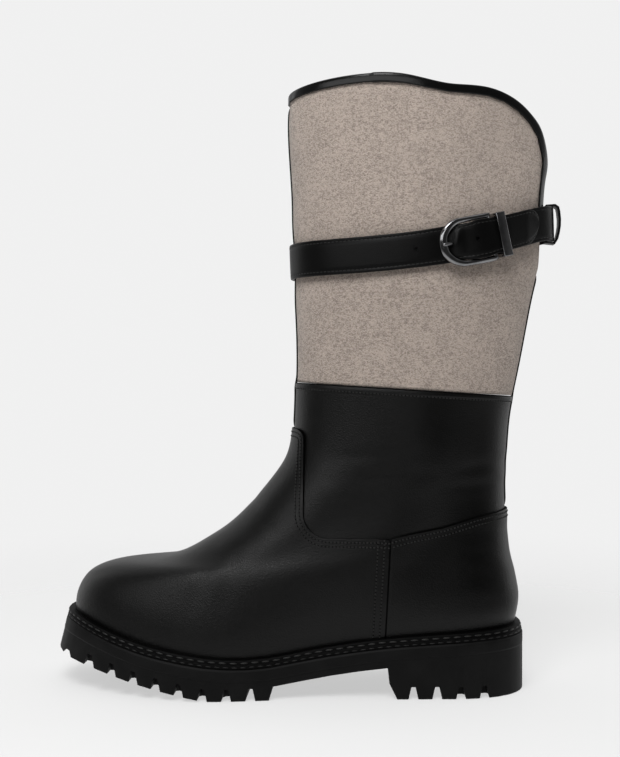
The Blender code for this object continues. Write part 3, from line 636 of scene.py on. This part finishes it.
def inside(points, outline):
    """Distance of points from a closed outline, positive inside it."""
    flat = points[:, (0, 2)] / MM
    within = np.zeros(len(flat), bool)
    for (x, z), (next_x, next_z) in zip(outline, outline[1:] + outline[:1]):
        if z != next_z:
            level = (flat[:, 1] - z) / (next_z - z)
            crosses = (z > flat[:, 1]) != (next_z > flat[:, 1])
            within ^= crosses & (flat[:, 0] < x + level * (next_x - x))
    return np.where(within, 1.0, -1.0) * edge_distance(points, outline + outline[:1])


def trim(piece, outline, snap=0.35):
    """Cuts a sheet along an outline and drops what lies outside it."""
    sheet = bmesh.new()
    sheet.from_mesh(piece.data)
    sheet.verts.ensure_lookup_table()
    values = inside(np.array([v.co for v in sheet.verts]), outline)
    value = dict(zip(sheet.verts, values))
    moves = {}
    for vert in sheet.verts:
        for edge in vert.link_edges:
            other = edge.other_vert(vert)
            if value[vert] * value[other] < 0.0:
                share = value[vert] / (value[vert] - value[other])
                if share < moves.get(vert, (snap,))[0]:
                    moves[vert] = (share, vert.co.lerp(other.co, share))
    for vert, (share, place) in moves.items():
        vert.co = place
        value[vert] = 0.0
    for edge in list(sheet.edges):
        a, b = edge.verts
        if value[a] * value[b] < 0.0:
            _, vert = bmesh.utils.edge_split(edge, a, value[a] / (value[a] - value[b]))
            value[vert] = 0.0
    bmesh.ops.connect_verts(sheet, verts=[v for v in sheet.verts if value[v] == 0.0])
    outside = [f for f in sheet.faces if sum(value[v] for v in f.verts) < 0.0]
    bmesh.ops.delete(sheet, geom=outside, context="FACES")
    sheet.to_mesh(piece.data)
    sheet.free()


def edge_paths(piece, line, reach=0.6):
    """Runs of a sheet's open edge that follow a line, as ordered points with their normals."""
    sheet = bmesh.new()
    sheet.from_mesh(piece.data)
    rim = [e for e in sheet.edges if e.is_boundary]
    verts = [v for v in sheet.verts if v.is_boundary]
    near = edge_distance(np.array([v.co for v in verts]), line) < reach
    links = {v: [] for v, close in zip(verts, near) if close}
    for edge in rim:
        a, b = edge.verts
        if a in links and b in links:
            links[a].append(b)
            links[b].append(a)
    paths = []
    ends = [v for v in links if len(links[v]) == 1]
    while ends:
        path = [ends.pop()]
        while True:
            ahead = [v for v in links[path[-1]] if len(path) < 2 or v is not path[-2]]
            if not ahead:
                break
            path.append(ahead[0])
        if path[-1] in ends:
            ends.remove(path[-1])
        paths.append((np.array([v.co for v in path]), np.array([v.normal for v in path])))
    sheet.free()
    return [path for path in paths if len(path[0]) > 5]


print("outlines", len(vamp_outline), len(counter_outline), "points")

# %% [markdown]
# The trimmed sheet is lifted off the upper, pressed by the same creases, and thickened outwards.
# The vamp rises a little at its rear edge, because there it laps over the counter.

# %% Vamp and counter
OVERLAY = 1.2 * MM
OVERLAY_GAP = 0.3
LAP_RISE = 0.45
LAP_REACH = 14.0
HIDDEN_ROWS = 4
LOWER_RIM = 60 * MM
EDGE_ROUND = 0.3 * MM


def drop_lowest_rows(piece, rows):
    """Removes the rows of faces along the lower rim of the foot."""
    pick(piece)
    bpy.ops.object.mode_set(mode="EDIT")
    bpy.ops.mesh.select_all(action="DESELECT")
    bpy.ops.mesh.select_mode(type="VERT")
    bpy.ops.object.mode_set(mode="OBJECT")
    open_edges = bmesh.new()
    open_edges.from_mesh(piece.data)
    low = [v.index for v in open_edges.verts if v.is_boundary and v.co.z < LOWER_RIM]
    open_edges.free()
    for index in low:
        piece.data.vertices[index].select = True
    bpy.ops.object.mode_set(mode="EDIT")
    for _ in range(rows):
        bpy.ops.mesh.select_more()
    bpy.ops.mesh.delete(type="VERT")
    bpy.ops.object.mode_set(mode="OBJECT")


def panel(name, outline, lap):
    """Sheet of a leather panel on the foot, before it gets its thickness."""
    piece = new_piece(name, foot_sheet.data.copy(), panel_leather, edge_ink_and_painted_shade)
    drop_lowest_rows(piece, HIDDEN_ROWS)
    points = points_of(piece.data)
    rise = OVERLAY_GAP - crease_depth(points)
    if lap:
        rise = rise + LAP_RISE * ease(1.0 - edge_distance(points, seam_edge) / LAP_REACH)
    set_points(piece.data, points + normals_of(piece.data) * rise[:, None] * MM)
    trim(piece, outline)
    return piece


vamp = panel("vamp_panel", vamp_outline, True)
counter = panel("counter_panel", counter_outline, False)
bpy.data.objects.remove(foot_sheet)
vamp_top = edge_paths(vamp, vamp_edge)
vamp_seam = edge_paths(vamp, seam_edge)
counter_top = edge_paths(counter, counter_edge)
for piece, node in ((vamp, "vamp"), (counter, "counter")):
    # Rims and rounds take the dark matt edge finish: edge ink, and painted shade for the dark line under
    # each lifted edge.
    apply(piece, "SOLIDIFY", thickness=OVERLAY, offset=1.0, material_offset_rim=1)
    apply(piece, "BEVEL", width=EDGE_ROUND, segments=2, limit_method="ANGLE",
          angle_limit=math.radians(55.0), use_clamp_overlap=True, material=1)
    keep(piece, "leather", node)
print("edges", [len(runs) for runs in (vamp_top, vamp_seam, counter_top)])

# %% [markdown]
# One stitch is a small flattened bead. It is modelled once and set along a row by arrays, so that
# a row is one light mesh. Each row is found by stepping in from a panel's edge and dropping onto
# the leather, so the thread lies on the surface however it curves. A dark bead between each two
# stitches is painted shade: it stands for the shade down in the needle's hole.

# %% Stitch rows
SEAM_PITCH = 2.1
SEAM_STITCH = 1.5
NEEDLE_HOLE = 0.8
HOLE_SINK = 0.4
PANEL_RADIUS = 0.42
ROW_REACH = 4 * MM

# Distances of the stitch rows from a panel's edge, and a place that lies inwards of it
VAMP_TOP_ROWS = (2.4, 5.0)
VAMP_SEAM_ROWS = (3.3, 7.0)
VAMP_INSIDE = (-60.0, 0.0, 50.0)
COUNTER_ROWS = (2.0, 4.6)
COUNTER_INSIDE = (90.0, 0.0, 40.0)

bpy.ops.object.select_all(action="DESELECT")
bpy.ops.mesh.primitive_uv_sphere_add(segments=8, ring_count=5, radius=1.0,
                                     rotation=(0.0, math.pi / 2, 0.0))
bpy.ops.object.transform_apply(rotation=True)
bead = bpy.context.object
bead_points = points_of(bead.data)
bead_faces = [tuple(face.vertices) for face in bead.data.polygons]
bpy.data.objects.remove(bead)


def unit(vectors):
    return vectors / np.linalg.norm(vectors, axis=1)[:, None]


def evenly(points, pitch):
    """Points of a run at an even pitch."""
    steps = np.concatenate([[0.0], np.cumsum(np.linalg.norm(np.diff(points, axis=0), axis=1))])
    count = max(2, int(round(steps[-1] / pitch)))
    places = np.linspace(0.0, steps[-1], count + 1)
    return np.column_stack([np.interp(places, steps, points[:, k]) for k in range(3)])


def inset_row(path, skin, distance, inside_spot):
    """Row on a skin at a distance from an edge, on the side that a spot lies on."""
    points, normals = path
    run = unit(np.gradient(points, axis=0))
    side = unit(np.cross(normals, run))
    if np.median(np.sum(side * (np.array(inside_spot) * MM - points), axis=1)) < 0.0:
        side = -side
    row = []
    for place in points + side * distance * MM + normals * OVERLAY:
        spot, _, _, gap = skin.find_nearest(Vector(place))
        if gap < ROW_REACH:
            row.append(spot)
    return np.array(row)


def sew(name, rows, skin, pitch, length, radius, finish, sink=0.25, between=False):
    """Joined mesh of stitches along rows that lie on a skin, or of dark beads between them as painted shade
    in each needle's hole.
    """
    places, frames = [], []
    for row in rows:
        row = evenly(evenly(row, 0.5 * MM), pitch * MM)
        if between:
            row = (row[1:] + row[:-1]) / 2.0
        run = unit(np.gradient(row, axis=0))
        for place, along in zip(row, run):
            spot, normal, _, _ = skin.find_nearest(Vector(place))
            out = np.array(normal)
            across = np.cross(out, along)
            across /= np.linalg.norm(across)
            frames.append((np.cross(across, out), across, out))
            places.append(np.array(spot) + out * radius * (0.5 - sink) * MM)
    size = np.array((length / 2.0, radius, 0.8 * radius)) * MM
    stitched = (bead_points * size) @ np.array(frames) + np.array(places)[:, None, :]
    count = len(bead_points)
    faces = [tuple(v + k * count for v in face) for k in range(len(places)) for face in bead_faces]
    mesh = bpy.data.meshes.new(name)
    mesh.from_pydata(stitched.reshape(-1, 3).tolist(), [], faces)
    mesh.shade_smooth()
    return new_piece(name, mesh, finish)


def inset_rows(paths, skin, distances, inside_spot):
    return [inset_row(path, skin, d, inside_spot) for path in paths for d in distances]


def sew_seam(name, rows, skin, radius):
    """Stitches along rows on leather, and dark beads between them as painted shade in each needle's hole."""
    stitches = sew(name + "_stitches", rows, skin, SEAM_PITCH, SEAM_STITCH, radius, black_thread)
    keep(stitches, "leather")
    # Dark beads between the stitches: painted shade in the needle's hole.
    hole_shades = sew(name + "_holes", rows, skin, SEAM_PITCH, NEEDLE_HOLE, radius, edge_ink_and_painted_shade, HOLE_SINK, True)
    keep(hole_shades, "leather")


vamp_skin, counter_skin = skin_of(vamp), skin_of(counter)
rows = inset_rows(vamp_top, vamp_skin, VAMP_TOP_ROWS, VAMP_INSIDE)
rows += inset_rows(vamp_seam, vamp_skin, VAMP_SEAM_ROWS, VAMP_INSIDE)
sew_seam("vamp", rows, vamp_skin, PANEL_RADIUS)
rows = inset_rows(counter_top, counter_skin, COUNTER_ROWS, COUNTER_INSIDE)
sew_seam("counter", rows, counter_skin, PANEL_RADIUS)
print("panel rows sewn")

# %% [markdown]
# Under the felt the band has one row of its own. Its path is the felt line itself, walked round
# the ankle by casting rays from outside at a few millimetres below it.

# %% Band stitches
ANKLE_MIDDLE = Vector((57.0, 0.0, 0.0)) * MM
BAND_ROW = 3.3
BAND_RADIUS = 0.40
ANKLE_GUESS = 70
OUTSIDE = 130


def ring_row(skin, height, turns=240):
    """Closed row round a skin, at heights given by a function of the place along the boot."""
    row = []
    for k in range(turns + 1):
        turn = math.tau * k / turns
        out = Vector((-math.cos(turn), -math.sin(turn), 0.0))
        spot = ANKLE_MIDDLE + out * ANKLE_GUESS * MM
        for _ in range(3):
            start = Vector((ANKLE_MIDDLE.x, 0.0, height(spot.x))) + out * OUTSIDE * MM
            hit = skin.ray_cast(start, -out)[0]
            spot = hit or spot
        row.append(spot)
    return np.array(row)


def band_height(x):
    share = (x - FELT_FRONT.x) / (FELT_BACK.x - FELT_FRONT.x)
    return FELT_FRONT.z + (FELT_BACK.z - FELT_FRONT.z) * share - BAND_ROW * MM


band_row = ring_row(upper_skin, band_height)
sew_seam("band", [band_row], upper_skin, BAND_RADIUS)

# %% [markdown]
# The shaft is thick felt that stands by itself. The strap draws it in a little, and it bellies
# out above and below. A few long shallow folds run down it. They die out at the collar and at the
# felt line, where binding and leather hold the felt still.

# %% Felt shaft
FELT = 3.6 * MM
STRAP_FRONT_Z = 254.9
STRAP_RISE = 22.5
STRAP_RISE_POWER = 2.6
STRAP_ENDS_X = (-9.0, 141.0)
STRAP_PRESS = 0.7
PRESS_REACH = 11.0
BELLY = 0.35
BELLY_AWAY = 2.2
STILL_ABOVE = 352.0
STILL_ABOVE_REACH = 12.0
STILL_BELOW = 4.0
STILL_BELOW_REACH = 8.0

# Middle of each fold in the side view, its tilt in degrees, half run, half width and depth
FOLDS = [
    (112.0, 308.0, 74.0, 34.0, 12.0, 1.1),
    (74.0, 214.0, 86.0, 26.0, 14.0, 0.7),
    (20.0, 222.0, 94.0, 26.0, 13.0, 0.5),
    (40.0, 318.0, 88.0, 30.0, 18.0, 0.7),
]


def strap_height(x):
    """Height of the strap's middle line at a place along the boot, in millimetres."""
    share = np.clip((x - STRAP_ENDS_X[0]) / (STRAP_ENDS_X[1] - STRAP_ENDS_X[0]), 0.0, 1.0)
    return STRAP_FRONT_Z + STRAP_RISE * share ** STRAP_RISE_POWER


def soft_folds(points):
    """How far strap and folds press the felt in, in millimetres."""
    press = np.zeros(len(points))
    for *trough, deep in FOLDS:
        along, across = in_trough(points, *trough)
        press += deep * np.exp(-along ** 4 - across ** 2)
    reach = (points[:, 2] / MM - strap_height(points[:, 0] / MM)) / PRESS_REACH
    belly = BELLY * np.exp(-(np.abs(reach) - BELLY_AWAY) ** 2)
    return press + STRAP_PRESS * np.exp(-reach ** 2) - belly


points = points_of(shaft.data)
free = ease((STILL_ABOVE - points[:, 2] / MM) / STILL_ABOVE_REACH)
free *= ease((below_felt(points) + STILL_BELOW) / -STILL_BELOW_REACH)
press = soft_folds(points) * free
set_points(shaft.data, points - normals_of(shaft.data) * press[:, None] * MM)
shaft_skin = skin_of(shaft)
apply(shaft, "SOLIDIFY", thickness=FELT, offset=-1.0, material_offset=1)
keep(shaft, "felt", "shaft")

# %% [markdown]
# The collar is bound with a folded leather strip. Its ends meet in an overlapped join at the top
# of the outer side, so the strip is a little thicker behind that place.

# %% Collar binding
JOIN_X = 37.5
JOIN_RISE = 0.35
JOIN_STEP = 0.9
JOIN_END_X = 70.0
JOIN_FADE = 30.0
JOIN_ABOVE = 330 * MM


def soft_copy(node, name, finish, levels, degrees=70.0):
    """Smooth copy of a solid that keeps its edges sharper than an angle."""
    piece = copy_of(node, name, finish)
    crease_sharp(piece, math.radians(degrees))
    smooth_through(piece, levels)
    return piece


binding = soft_copy("collar_binding", "bound_collar", trim_leather, 3)
points = points_of(binding.data)
behind = ease((points[:, 0] / MM - JOIN_X) / JOIN_STEP)
behind *= ease((JOIN_END_X - points[:, 0] / MM) / JOIN_FADE)
outer = (points[:, 1] < 0.0) & (points[:, 2] > JOIN_ABOVE)
rise = JOIN_RISE * behind * outer
set_points(binding.data, points + normals_of(binding.data) * rise[:, None] * MM)
keep(binding, "trim_leather", "collar_binding")

# %% [markdown]
# Narrow strips of leather close the front and back seams. The solids have them on the felt, and
# here they run on down the ankle, as far as the vamp in front and the counter behind.
# Strap and piping are both ribbons: a section carried along stations, each with its own place,
# its way outwards and its way across.

# %% Piping
PIPING_HALF = 1.2
PIPING_RISE = 0.9
PIPING_BED = 0.4
FRONT_STRIP = (VAMP_TOP + 0.5, 351.0)
BACK_STRIP = (108.5, 248.0)
SEAM_MIDDLE_X = 60
SEAM_OUTSIDE = 200


def ribbon(name, stations, section, finish):
    """Closed ribbon through stations. A section gives points across and outwards at each one."""
    rows = []
    for k, (place, out, across) in enumerate(stations):
        rows.append([np.array(place) + np.array(across) * s * MM + np.array(out) * h * MM
                     for s, h in section(k)])
    count = len(rows[0])
    faces = [tuple(range(count)), tuple(range((len(rows) - 1) * count, len(rows) * count))[::-1]]
    for i in range(len(rows) - 1):
        for j in range(count):
            k = (j + 1) % count
            faces.append((i * count + k, i * count + j, (i + 1) * count + j, (i + 1) * count + k))
    mesh = bpy.data.meshes.new(name)
    mesh.from_pydata(np.array(rows).reshape(-1, 3).tolist(), [], faces)
    piece = new_piece(name, mesh, finish)
    in_edit(piece, (bpy.ops.mesh.normals_make_consistent, {"inside": False}))
    pick(piece)
    shade_by_angle(50.0)
    return piece


def seam_stations(way, low, high, step=2.0):
    """Stations up the front or back seam, found by rays along the boot."""
    places = []
    for z in np.arange(low, high, step):
        outside = Vector((SEAM_MIDDLE_X * MM + way * SEAM_OUTSIDE * MM, 0.0, z * MM))
        hits = [skin.ray_cast(outside, Vector((-way, 0, 0)))[0]
                for skin in (shaft_skin, upper_skin, vamp_skin, counter_skin)]
        hits = [hit for hit in hits if hit]
        if hits:
            places.append(max(hits, key=lambda hit: way * hit.x))
    places = np.array(places)
    for _ in range(3):
        places[1:-1] = (places[:-2] + 2.0 * places[1:-1] + places[2:]) / 4.0
    run = unit(np.gradient(places, axis=0))
    across = np.tile((0.0, 1.0, 0.0), (len(places), 1))
    out = unit(np.cross(run, across))
    return [(p, o * way * np.sign(o[0]), a) for p, o, a in zip(places, out, across)]


def piping_section(count):
    """Section of a strip with rounded top, made smaller at its two ends."""
    arch = [(PIPING_HALF * math.cos(a), PIPING_RISE * math.sin(a) + 0.1)
            for a in np.linspace(0.0, math.pi, 9)]
    bed = [(-0.8 * PIPING_HALF, -PIPING_BED), (0.8 * PIPING_HALF, -PIPING_BED)]

    def section(k):
        end = min(1.0, 0.3 + min(k, count - 1 - k) * 0.5)
        return [(s * end, h * end) for s, h in arch] + bed
    return section


for name, node, way, ends in (("front_seam_strip", "front_piping", -1.0, FRONT_STRIP),
                              ("back_seam_strip", "back_piping", 1.0, BACK_STRIP)):
    stations = seam_stations(way, *ends)
    strip = ribbon(name, stations, piping_section(len(stations)), trim_leather)
    keep(strip, "trim_leather", node)

# %% [markdown]
# The strap is one flat strip: it starts behind the buckle, runs once round the shaft, rises under
# the prong over the buckle's bar and ends in a round tip. Rays from the middle of the shaft find
# its under side, rays from outside the top of its free end, so the ribbon lies where the solid is.

# %% Strap path
STRAP_WIDTH = 20.7
STRAP_THICK = 2.2
CHAPE_X = 106.9
TIP_X = 139.0
MIDDLE_X = 66.0
STRAP_MIDDLE = Vector((MIDDLE_X, 0.0, 0.0)) * MM
BUCKLE_MIDDLE = np.array((MIDDLE_X, 0.0, 270.0)) * MM
HALF_LONG = 75.0
HALF_WIDE = 39.5
HALF_WIDE_INSIDE = 38.5

# Distance of the rails from the strap's middle line: below it, and on top of its narrow tip
UNDER_RAIL = 8.6
OVER_RAIL = 3.2
STATION = 1.5
SMOOTHING = 24

# Smoothing draws the strap in behind the shaft. It leans out again there, its lower edge most.
LEAN_X = 145.0
LEAN_REACH = 7.0
LEAN_OUT = (1.8, 0.9)

strap_skin = skin_of(frame["nodes"]["strap"])


def strap_rails(turn, inside_out, guess, rail):
    """Two points on the strap's solid, below and above its middle line, in one direction."""
    out = Vector((-math.cos(turn), -math.sin(turn), 0.0))
    rails = []
    for side in (-rail, rail):
        x = guess
        for share in (0.3, 0.3, 0.6, 0.8, 1.0, 1.0):
            middle = Vector((STRAP_MIDDLE.x, 0.0, (strap_height(x) + share * side) * MM))
            start = middle if inside_out else middle + out * OUTSIDE * MM
            hit = strap_skin.ray_cast(start, out if inside_out else -out)[0]
            if hit is None:
                return []
            x = hit.x / MM
        rails.append(list(hit))
    return rails


def turn_at(x):
    """Direction in which the outer side of the strap is met at a place along the boot."""
    rest = max(0.0, 1.0 - ((x - MIDDLE_X) / HALF_LONG) ** 2)
    return math.atan2(HALF_WIDE_INSIDE * math.sqrt(rest), MIDDLE_X - x)


def settle(rails, pitch, passes):
    """Rails at an even pitch, with the corners of the solid's facets smoothed away."""
    middle = rails.mean(axis=1)
    steps = np.concatenate([[0.0], np.cumsum(np.linalg.norm(np.diff(middle, axis=0), axis=1))])
    places = np.linspace(0.0, steps[-1], int(steps[-1] / (pitch * MM)) + 1)
    flat = rails.reshape(-1, 6)
    even = np.column_stack([np.interp(places, steps, flat[:, k]) for k in range(6)])
    for _ in range(passes):
        even[1:-1] = (even[:-2] + 2.0 * even[1:-1] + even[2:]) / 4.0
    return even.reshape(-1, 2, 3)


under = []
first, last = turn_at(CHAPE_X + 1.0), math.tau + turn_at(CHAPE_X - 1.5)
for turn in np.linspace(first, last, 300):
    reach = 1.0 / math.hypot(math.cos(turn) / HALF_LONG, math.sin(turn) / HALF_WIDE)
    under.append(strap_rails(turn, True, MIDDLE_X - reach * math.cos(turn), UNDER_RAIL))
under = np.array([found for found in under if found])
over = [strap_rails(turn_at(x), False, x, OVER_RAIL)
        for x in np.linspace(CHAPE_X, TIP_X - 1.2, 50)]
over = np.array([found for found in over if found])
over = over[over[:, :, 0].mean(axis=1) < (TIP_X - 0.6) * MM]
way = unit(over.mean(axis=1) - BUCKLE_MIDDLE) * (1.0, 1.0, 0.0)
over -= way[:, None, :] * STRAP_THICK * MM
over_middle = over.mean(axis=1)[:, None, :]
over = over_middle + (over - over_middle) * (UNDER_RAIL / OVER_RAIL)
rails = settle(np.concatenate([under, over]), STATION, SMOOTHING)
lean = np.exp(-((rails[:, :, 0] / MM - LEAN_X).clip(max=0.0) / LEAN_REACH) ** 2)
rails[:, :, 0] += lean * LEAN_OUT * MM
strap_middle = rails.mean(axis=1)
strap_run = unit(np.gradient(strap_middle, axis=0))
strap_up = unit(rails[:, 1] - rails[:, 0])
strap_out = unit(np.cross(strap_up, strap_run))
outward = np.sum(strap_out * (strap_middle - np.array(STRAP_MIDDLE)) * (1, 1, 0), axis=1)
strap_out *= np.sign(outward)[:, None]
print("strap stations", len(rails), "length", round(STATION * len(rails)), "mm")

# %% [markdown]
# The strap's section has rounded edges, a shallow groove for each stitch row and a flat top. Over
# the prong it bulges a little. The holes are pressed into it by a Boolean with small cylinders.

# %% Strap
HALF = STRAP_WIDTH / 2.0
GROOVE = 1.9
BULGE_X = 86.8
BULGE_REACH = 3.4
BULGE = 3.0
HOLES_X = (62.8, 97.7)
HOLE_RADIUS = 1.15
HOLE_DEPTH = 1.9
PUNCH = 4

# Pitch, length and radius of the strap's stitches
STRAP_STITCH = (2.5, 1.9, 0.30)

edge_side = [(0.0, 0.35), (0.0, 1.5), (0.18, 1.92), (0.6, 2.14), (GROOVE - 0.4, 2.2),
             (GROOVE, 1.98), (GROOVE + 0.4, 2.2), (4.5, 2.24), (7.5, 2.26)]
strap_section = [(HALF - inset, height) for inset, height in edge_side] + [(0.0, 2.26)]
strap_section += [(-s, h) for s, h in strap_section[-2::-1]]
strap_section += [(0.3 - HALF, 0.0), (HALF - 0.3, 0.0)]
TOP_ROW, LOW_ROW = 5, 2 * len(edge_side) - 5

# Place along the boot, width of the free end there against the strap's own, and how far it goes
# down in millimetres, because smoothing leaves it above the solid
FREE_END = [
    (60.0, 1.00, 0.0),
    (78.0, 1.03, 0.0),
    (88.0, 1.03, 0.1),
    (93.0, 1.03, 0.3),
    (97.0, 1.08, 0.4),
    (104.0, 1.08, 0.7),
    (108.5, 1.02, 0.7),
    (118.0, 1.00, 0.9),
    (130.0, 1.00, 0.8),
    (139.0, 1.00, 0.6),
]
FREE_X, FREE_WIDTH, FREE_DOWN = zip(*FREE_END)


def section_at(k):
    """Section of the strap at a station, narrowed at its round tip and raised over the prong."""
    rest = min(1.0, (len(rails) - 1 - k) * STATION / HALF + 0.004)
    wide = math.sqrt(1.0 - (1.0 - rest) ** 2)
    thick = 0.5 + 0.5 * rest
    down = bulge = 0.0
    if k > len(rails) // 2 and strap_middle[k][1] < 0.0:
        x = strap_middle[k][0] / MM
        wide *= np.interp(x, FREE_X, FREE_WIDTH)
        down = np.interp(x, FREE_X, FREE_DOWN)
        bulge = BULGE * math.exp(-((x - BULGE_X) / BULGE_REACH) ** 2)
    return [(s * wide - down, h * thick + bulge * (1.0 - (s / HALF) ** 2) ** 1.5)
            for s, h in strap_section]


stations = list(zip(strap_middle, strap_out, strap_up))
strap = ribbon("buckled_strap", stations, section_at, strap_leather)
outer_half = np.arange(len(rails)) > len(rails) // 2


def strap_station(x):
    """Last station of the strap at a place along the boot, on its outer side."""
    outer_side = outer_half & (strap_middle[:, 1] < 0.0)
    return int(np.argmin(np.where(outer_side, np.abs(strap_middle[:, 0] / MM - x), np.inf)))


for x in HOLES_X:
    k = strap_station(x)
    top = strap_middle[k] + strap_out[k] * (STRAP_THICK - HOLE_DEPTH + PUNCH / 2) * MM
    turn = Vector(strap_out[k]).to_track_quat("Z", "X").to_euler()
    bpy.ops.object.select_all(action="DESELECT")
    bpy.ops.mesh.primitive_cylinder_add(vertices=20, radius=HOLE_RADIUS * MM, depth=PUNCH * MM,
                                        location=top, rotation=turn)
    punch = bpy.context.object
    apply(strap, "BOOLEAN", operation="DIFFERENCE", object=punch, solver="EXACT")
    bpy.data.objects.remove(punch)
keep(strap, "strap_leather", "strap")
strap_top = skin_of(strap)
from_tip = np.linalg.norm(strap_middle - strap_middle[-1], axis=1)
covered = int(np.argmin(from_tip[:len(rails) // 2])) + 2
rows = []
for column in (TOP_ROW, LOW_ROW):
    rows.append(np.array([strap_middle[k] + strap_up[k] * section_at(k)[column][0] * MM
                          + strap_out[k] * section_at(k)[column][1] * MM
                          for k in range(covered, len(rails) - 1)]))
keep(sew("strap_stitches", rows, strap_top, *STRAP_STITCH, black_thread), "strap_leather")

# %% [markdown]
# The buckle is cast and plated: a round D frame, a bent prong and a folded keeper. Metal doesn't
# give, so frame and keeper are copies of their solids, smoothed or rounded where they are. Only
# the prong is bent, to dip under the bulge of the strap on its way to the frame.

# %% Buckle
PRONG_X = 88.0

# Place along the boot and shift outwards of the prong, in millimetres
PRONG_DIP = [(80.0, 0.0), (82.0, -0.5), (84.5, -2.0), (87.0, -3.2), (90.0, -2.3), (94.5, -0.9),
             (99.0, 0.0)]

bow = soft_copy("buckle_frame", "buckle_bow", metal, 2)
keep(bow, "buckle_metal", "buckle_frame")
prong = soft_copy("buckle_prong", "bent_prong", metal, 3)
points = points_of(prong.data)
dip = np.interp(points[:, 0] / MM, *zip(*PRONG_DIP))
set_points(prong.data, points + strap_out[strap_station(PRONG_X)] * dip[:, None] * MM)
keep(prong, "buckle_metal", "buckle_prong")
keeper = copy_of("keeper", "metal_keeper", metal)
round_edges(keeper, 0.8, 3)
shade_by_angle()
keep(keeper, "buckle_metal", "keeper")
loop = copy_of("back_loop", "leather_loop", strap_leather)
round_edges(loop, 0.5, 3)
shade_by_angle()
keep(loop, "strap_leather", "back_loop")

# %% [markdown]
# The sole came out of a mould, so none of its edges is razor sharp. Flat faces are joined again
# first, then every hard edge gets a small round, which is what catches the light along the lugs.

# %% Sole and welt
# Top line of the sole and side of the foot's middle line, by place along the boot
SOLE_TOP = [(-153.0, 39.6), (-140.0, 38.2), (-118.0, 31.6), (-97.0, 25.9), (-77.0, 22.0),
            (-56.0, 19.1), (-38.0, 18.0), (-19.0, 19.1), (12.0, 24.4), (44.0, 29.0), (94.0, 32.5),
            (131.0, 34.2)]
SWING = [(-150.0, 8.0), (-100.0, 4.0), (-55.0, 0.0), (0.0, -3.5), (45.0, -3.0), (95.0, 0.0),
         (130.0, 0.0)]
WELT_HEIGHT = 5.2
WELT_ROWS = (0.70, 0.24)
WELT_ENDS_X = (-112.0, 92.0)
WELT_GUESS = 45
WELT_OUTSIDE = 150
SIDE_RAYS = 100
HEEL_RAYS = 40
TOE_RAYS = 50

# Pitch, length and radius of the stitches on top of the welt and along its edge
WELT_STITCH = (6.2, 4.4, 0.50)
EDGE_STITCH = (5.0, 3.2, 0.34)
WELT_SINK = 0.35


def welt_row(skin, share):
    """Closed row round the welt at a share of its height, by rays towards the foot's middle line."""
    toe, heel = WELT_ENDS_X
    rays = [(toe + (heel - toe) * k / SIDE_RAYS, -90.0) for k in range(SIDE_RAYS)]
    rays += [(heel, -90.0 + 180.0 * k / HEEL_RAYS) for k in range(HEEL_RAYS)]
    rays += [(heel - (heel - toe) * k / SIDE_RAYS, 90.0) for k in range(SIDE_RAYS)]
    rays += [(toe, 90.0 + 180.0 * k / TOE_RAYS) for k in range(TOE_RAYS + 1)]
    row = []
    for x, degrees in rays:
        out = Vector((math.cos(math.radians(degrees)), math.sin(math.radians(degrees)), 0.0))
        spot = Vector((x, 0.0, 0.0)) * MM + out * WELT_GUESS * MM
        for _ in range(4):
            level = np.interp(spot.x / MM, *zip(*SOLE_TOP)) + share * WELT_HEIGHT
            middle = Vector((x, np.interp(x, *zip(*SWING)), level)) * MM
            hit = skin.ray_cast(middle + out * WELT_OUTSIDE * MM, -out)[0]
            spot = hit or spot
        if hit:
            row.append(hit)
    return np.array(row)


outsole = copy_of("outsole", "lug_outsole", rubber)
in_edit(outsole, (bpy.ops.mesh.dissolve_limited, {"angle_limit": math.radians(0.5)}))
round_edges(outsole, 0.55, 3, 28.0)
shade_by_angle()
keep(outsole, "rubber", "outsole")

# The welt's dark tone is painted shade under the upper's overhang.
welt = copy_of("welt", "stitched_welt", welt_leather)
crease_sharp(welt, math.radians(40.0))
smooth_through(welt, 2)
round_edges(welt, 0.22, 2)
keep(welt, "welt_leather", "welt")

welt_skin = skin_of(welt)
rows = [welt_row(welt_skin, share) for share in WELT_ROWS]
for name, row, stitch, finish in (("welt_stitches", rows[0], WELT_STITCH, welt_thread),
                                  ("edge_stitches", rows[1], EDGE_STITCH, edge_thread)):
    keep(sew(name, [row], welt_skin, *stitch, finish, WELT_SINK), "welt_leather")

insole = copy_of("insole", "insole_lining", board)
round_edges(insole, 0.5, 2)
keep(insole, "insole_board", "insole")

# %% [markdown]
# The boot stands on a plain pale floor, which is part of the studio and not of the boot. It thins
# out with distance, so that it passes into the backdrop with no edge.

# %% Floor
FLOOR_RADIUS = 1.4
FLOOR_DROP = 0.2 * MM
FLOOR_COVER = 0.45
FLOOR_FADE = (0.12, 0.75)

bpy.ops.object.select_all(action="DESELECT")
bpy.ops.mesh.primitive_circle_add(vertices=64, radius=FLOOR_RADIUS, fill_type="NGON",
                                  location=(0.0, 0.0, -FLOOR_DROP))
bpy.ops.object.transform_apply(location=True)
floor = bpy.context.object
floor.name = "floor"
paper, shader, start, place = new_finish("pale_floor", Roughness=0.9, Specular_IOR_Level=0.05,
                                         Emission_Color=(1.0, 1.0, 1.0), Emission_Strength=0.14)
cloud = noise(start, place, 0.9, 2.0)
join_up(shader, start, cloud.tint((0.85, 0.85, 0.85), (0.86, 0.86, 0.86)))
reach = start.node("VectorMath", {"operation": "LENGTH"}, {0: place}, out="Value")
fade = FLOOR_COVER - reach.between(*FLOOR_FADE) * FLOOR_COVER
paper.node_tree.links.new(fade.socket, shader.inputs["Alpha"])
floor.data.materials.append(paper)
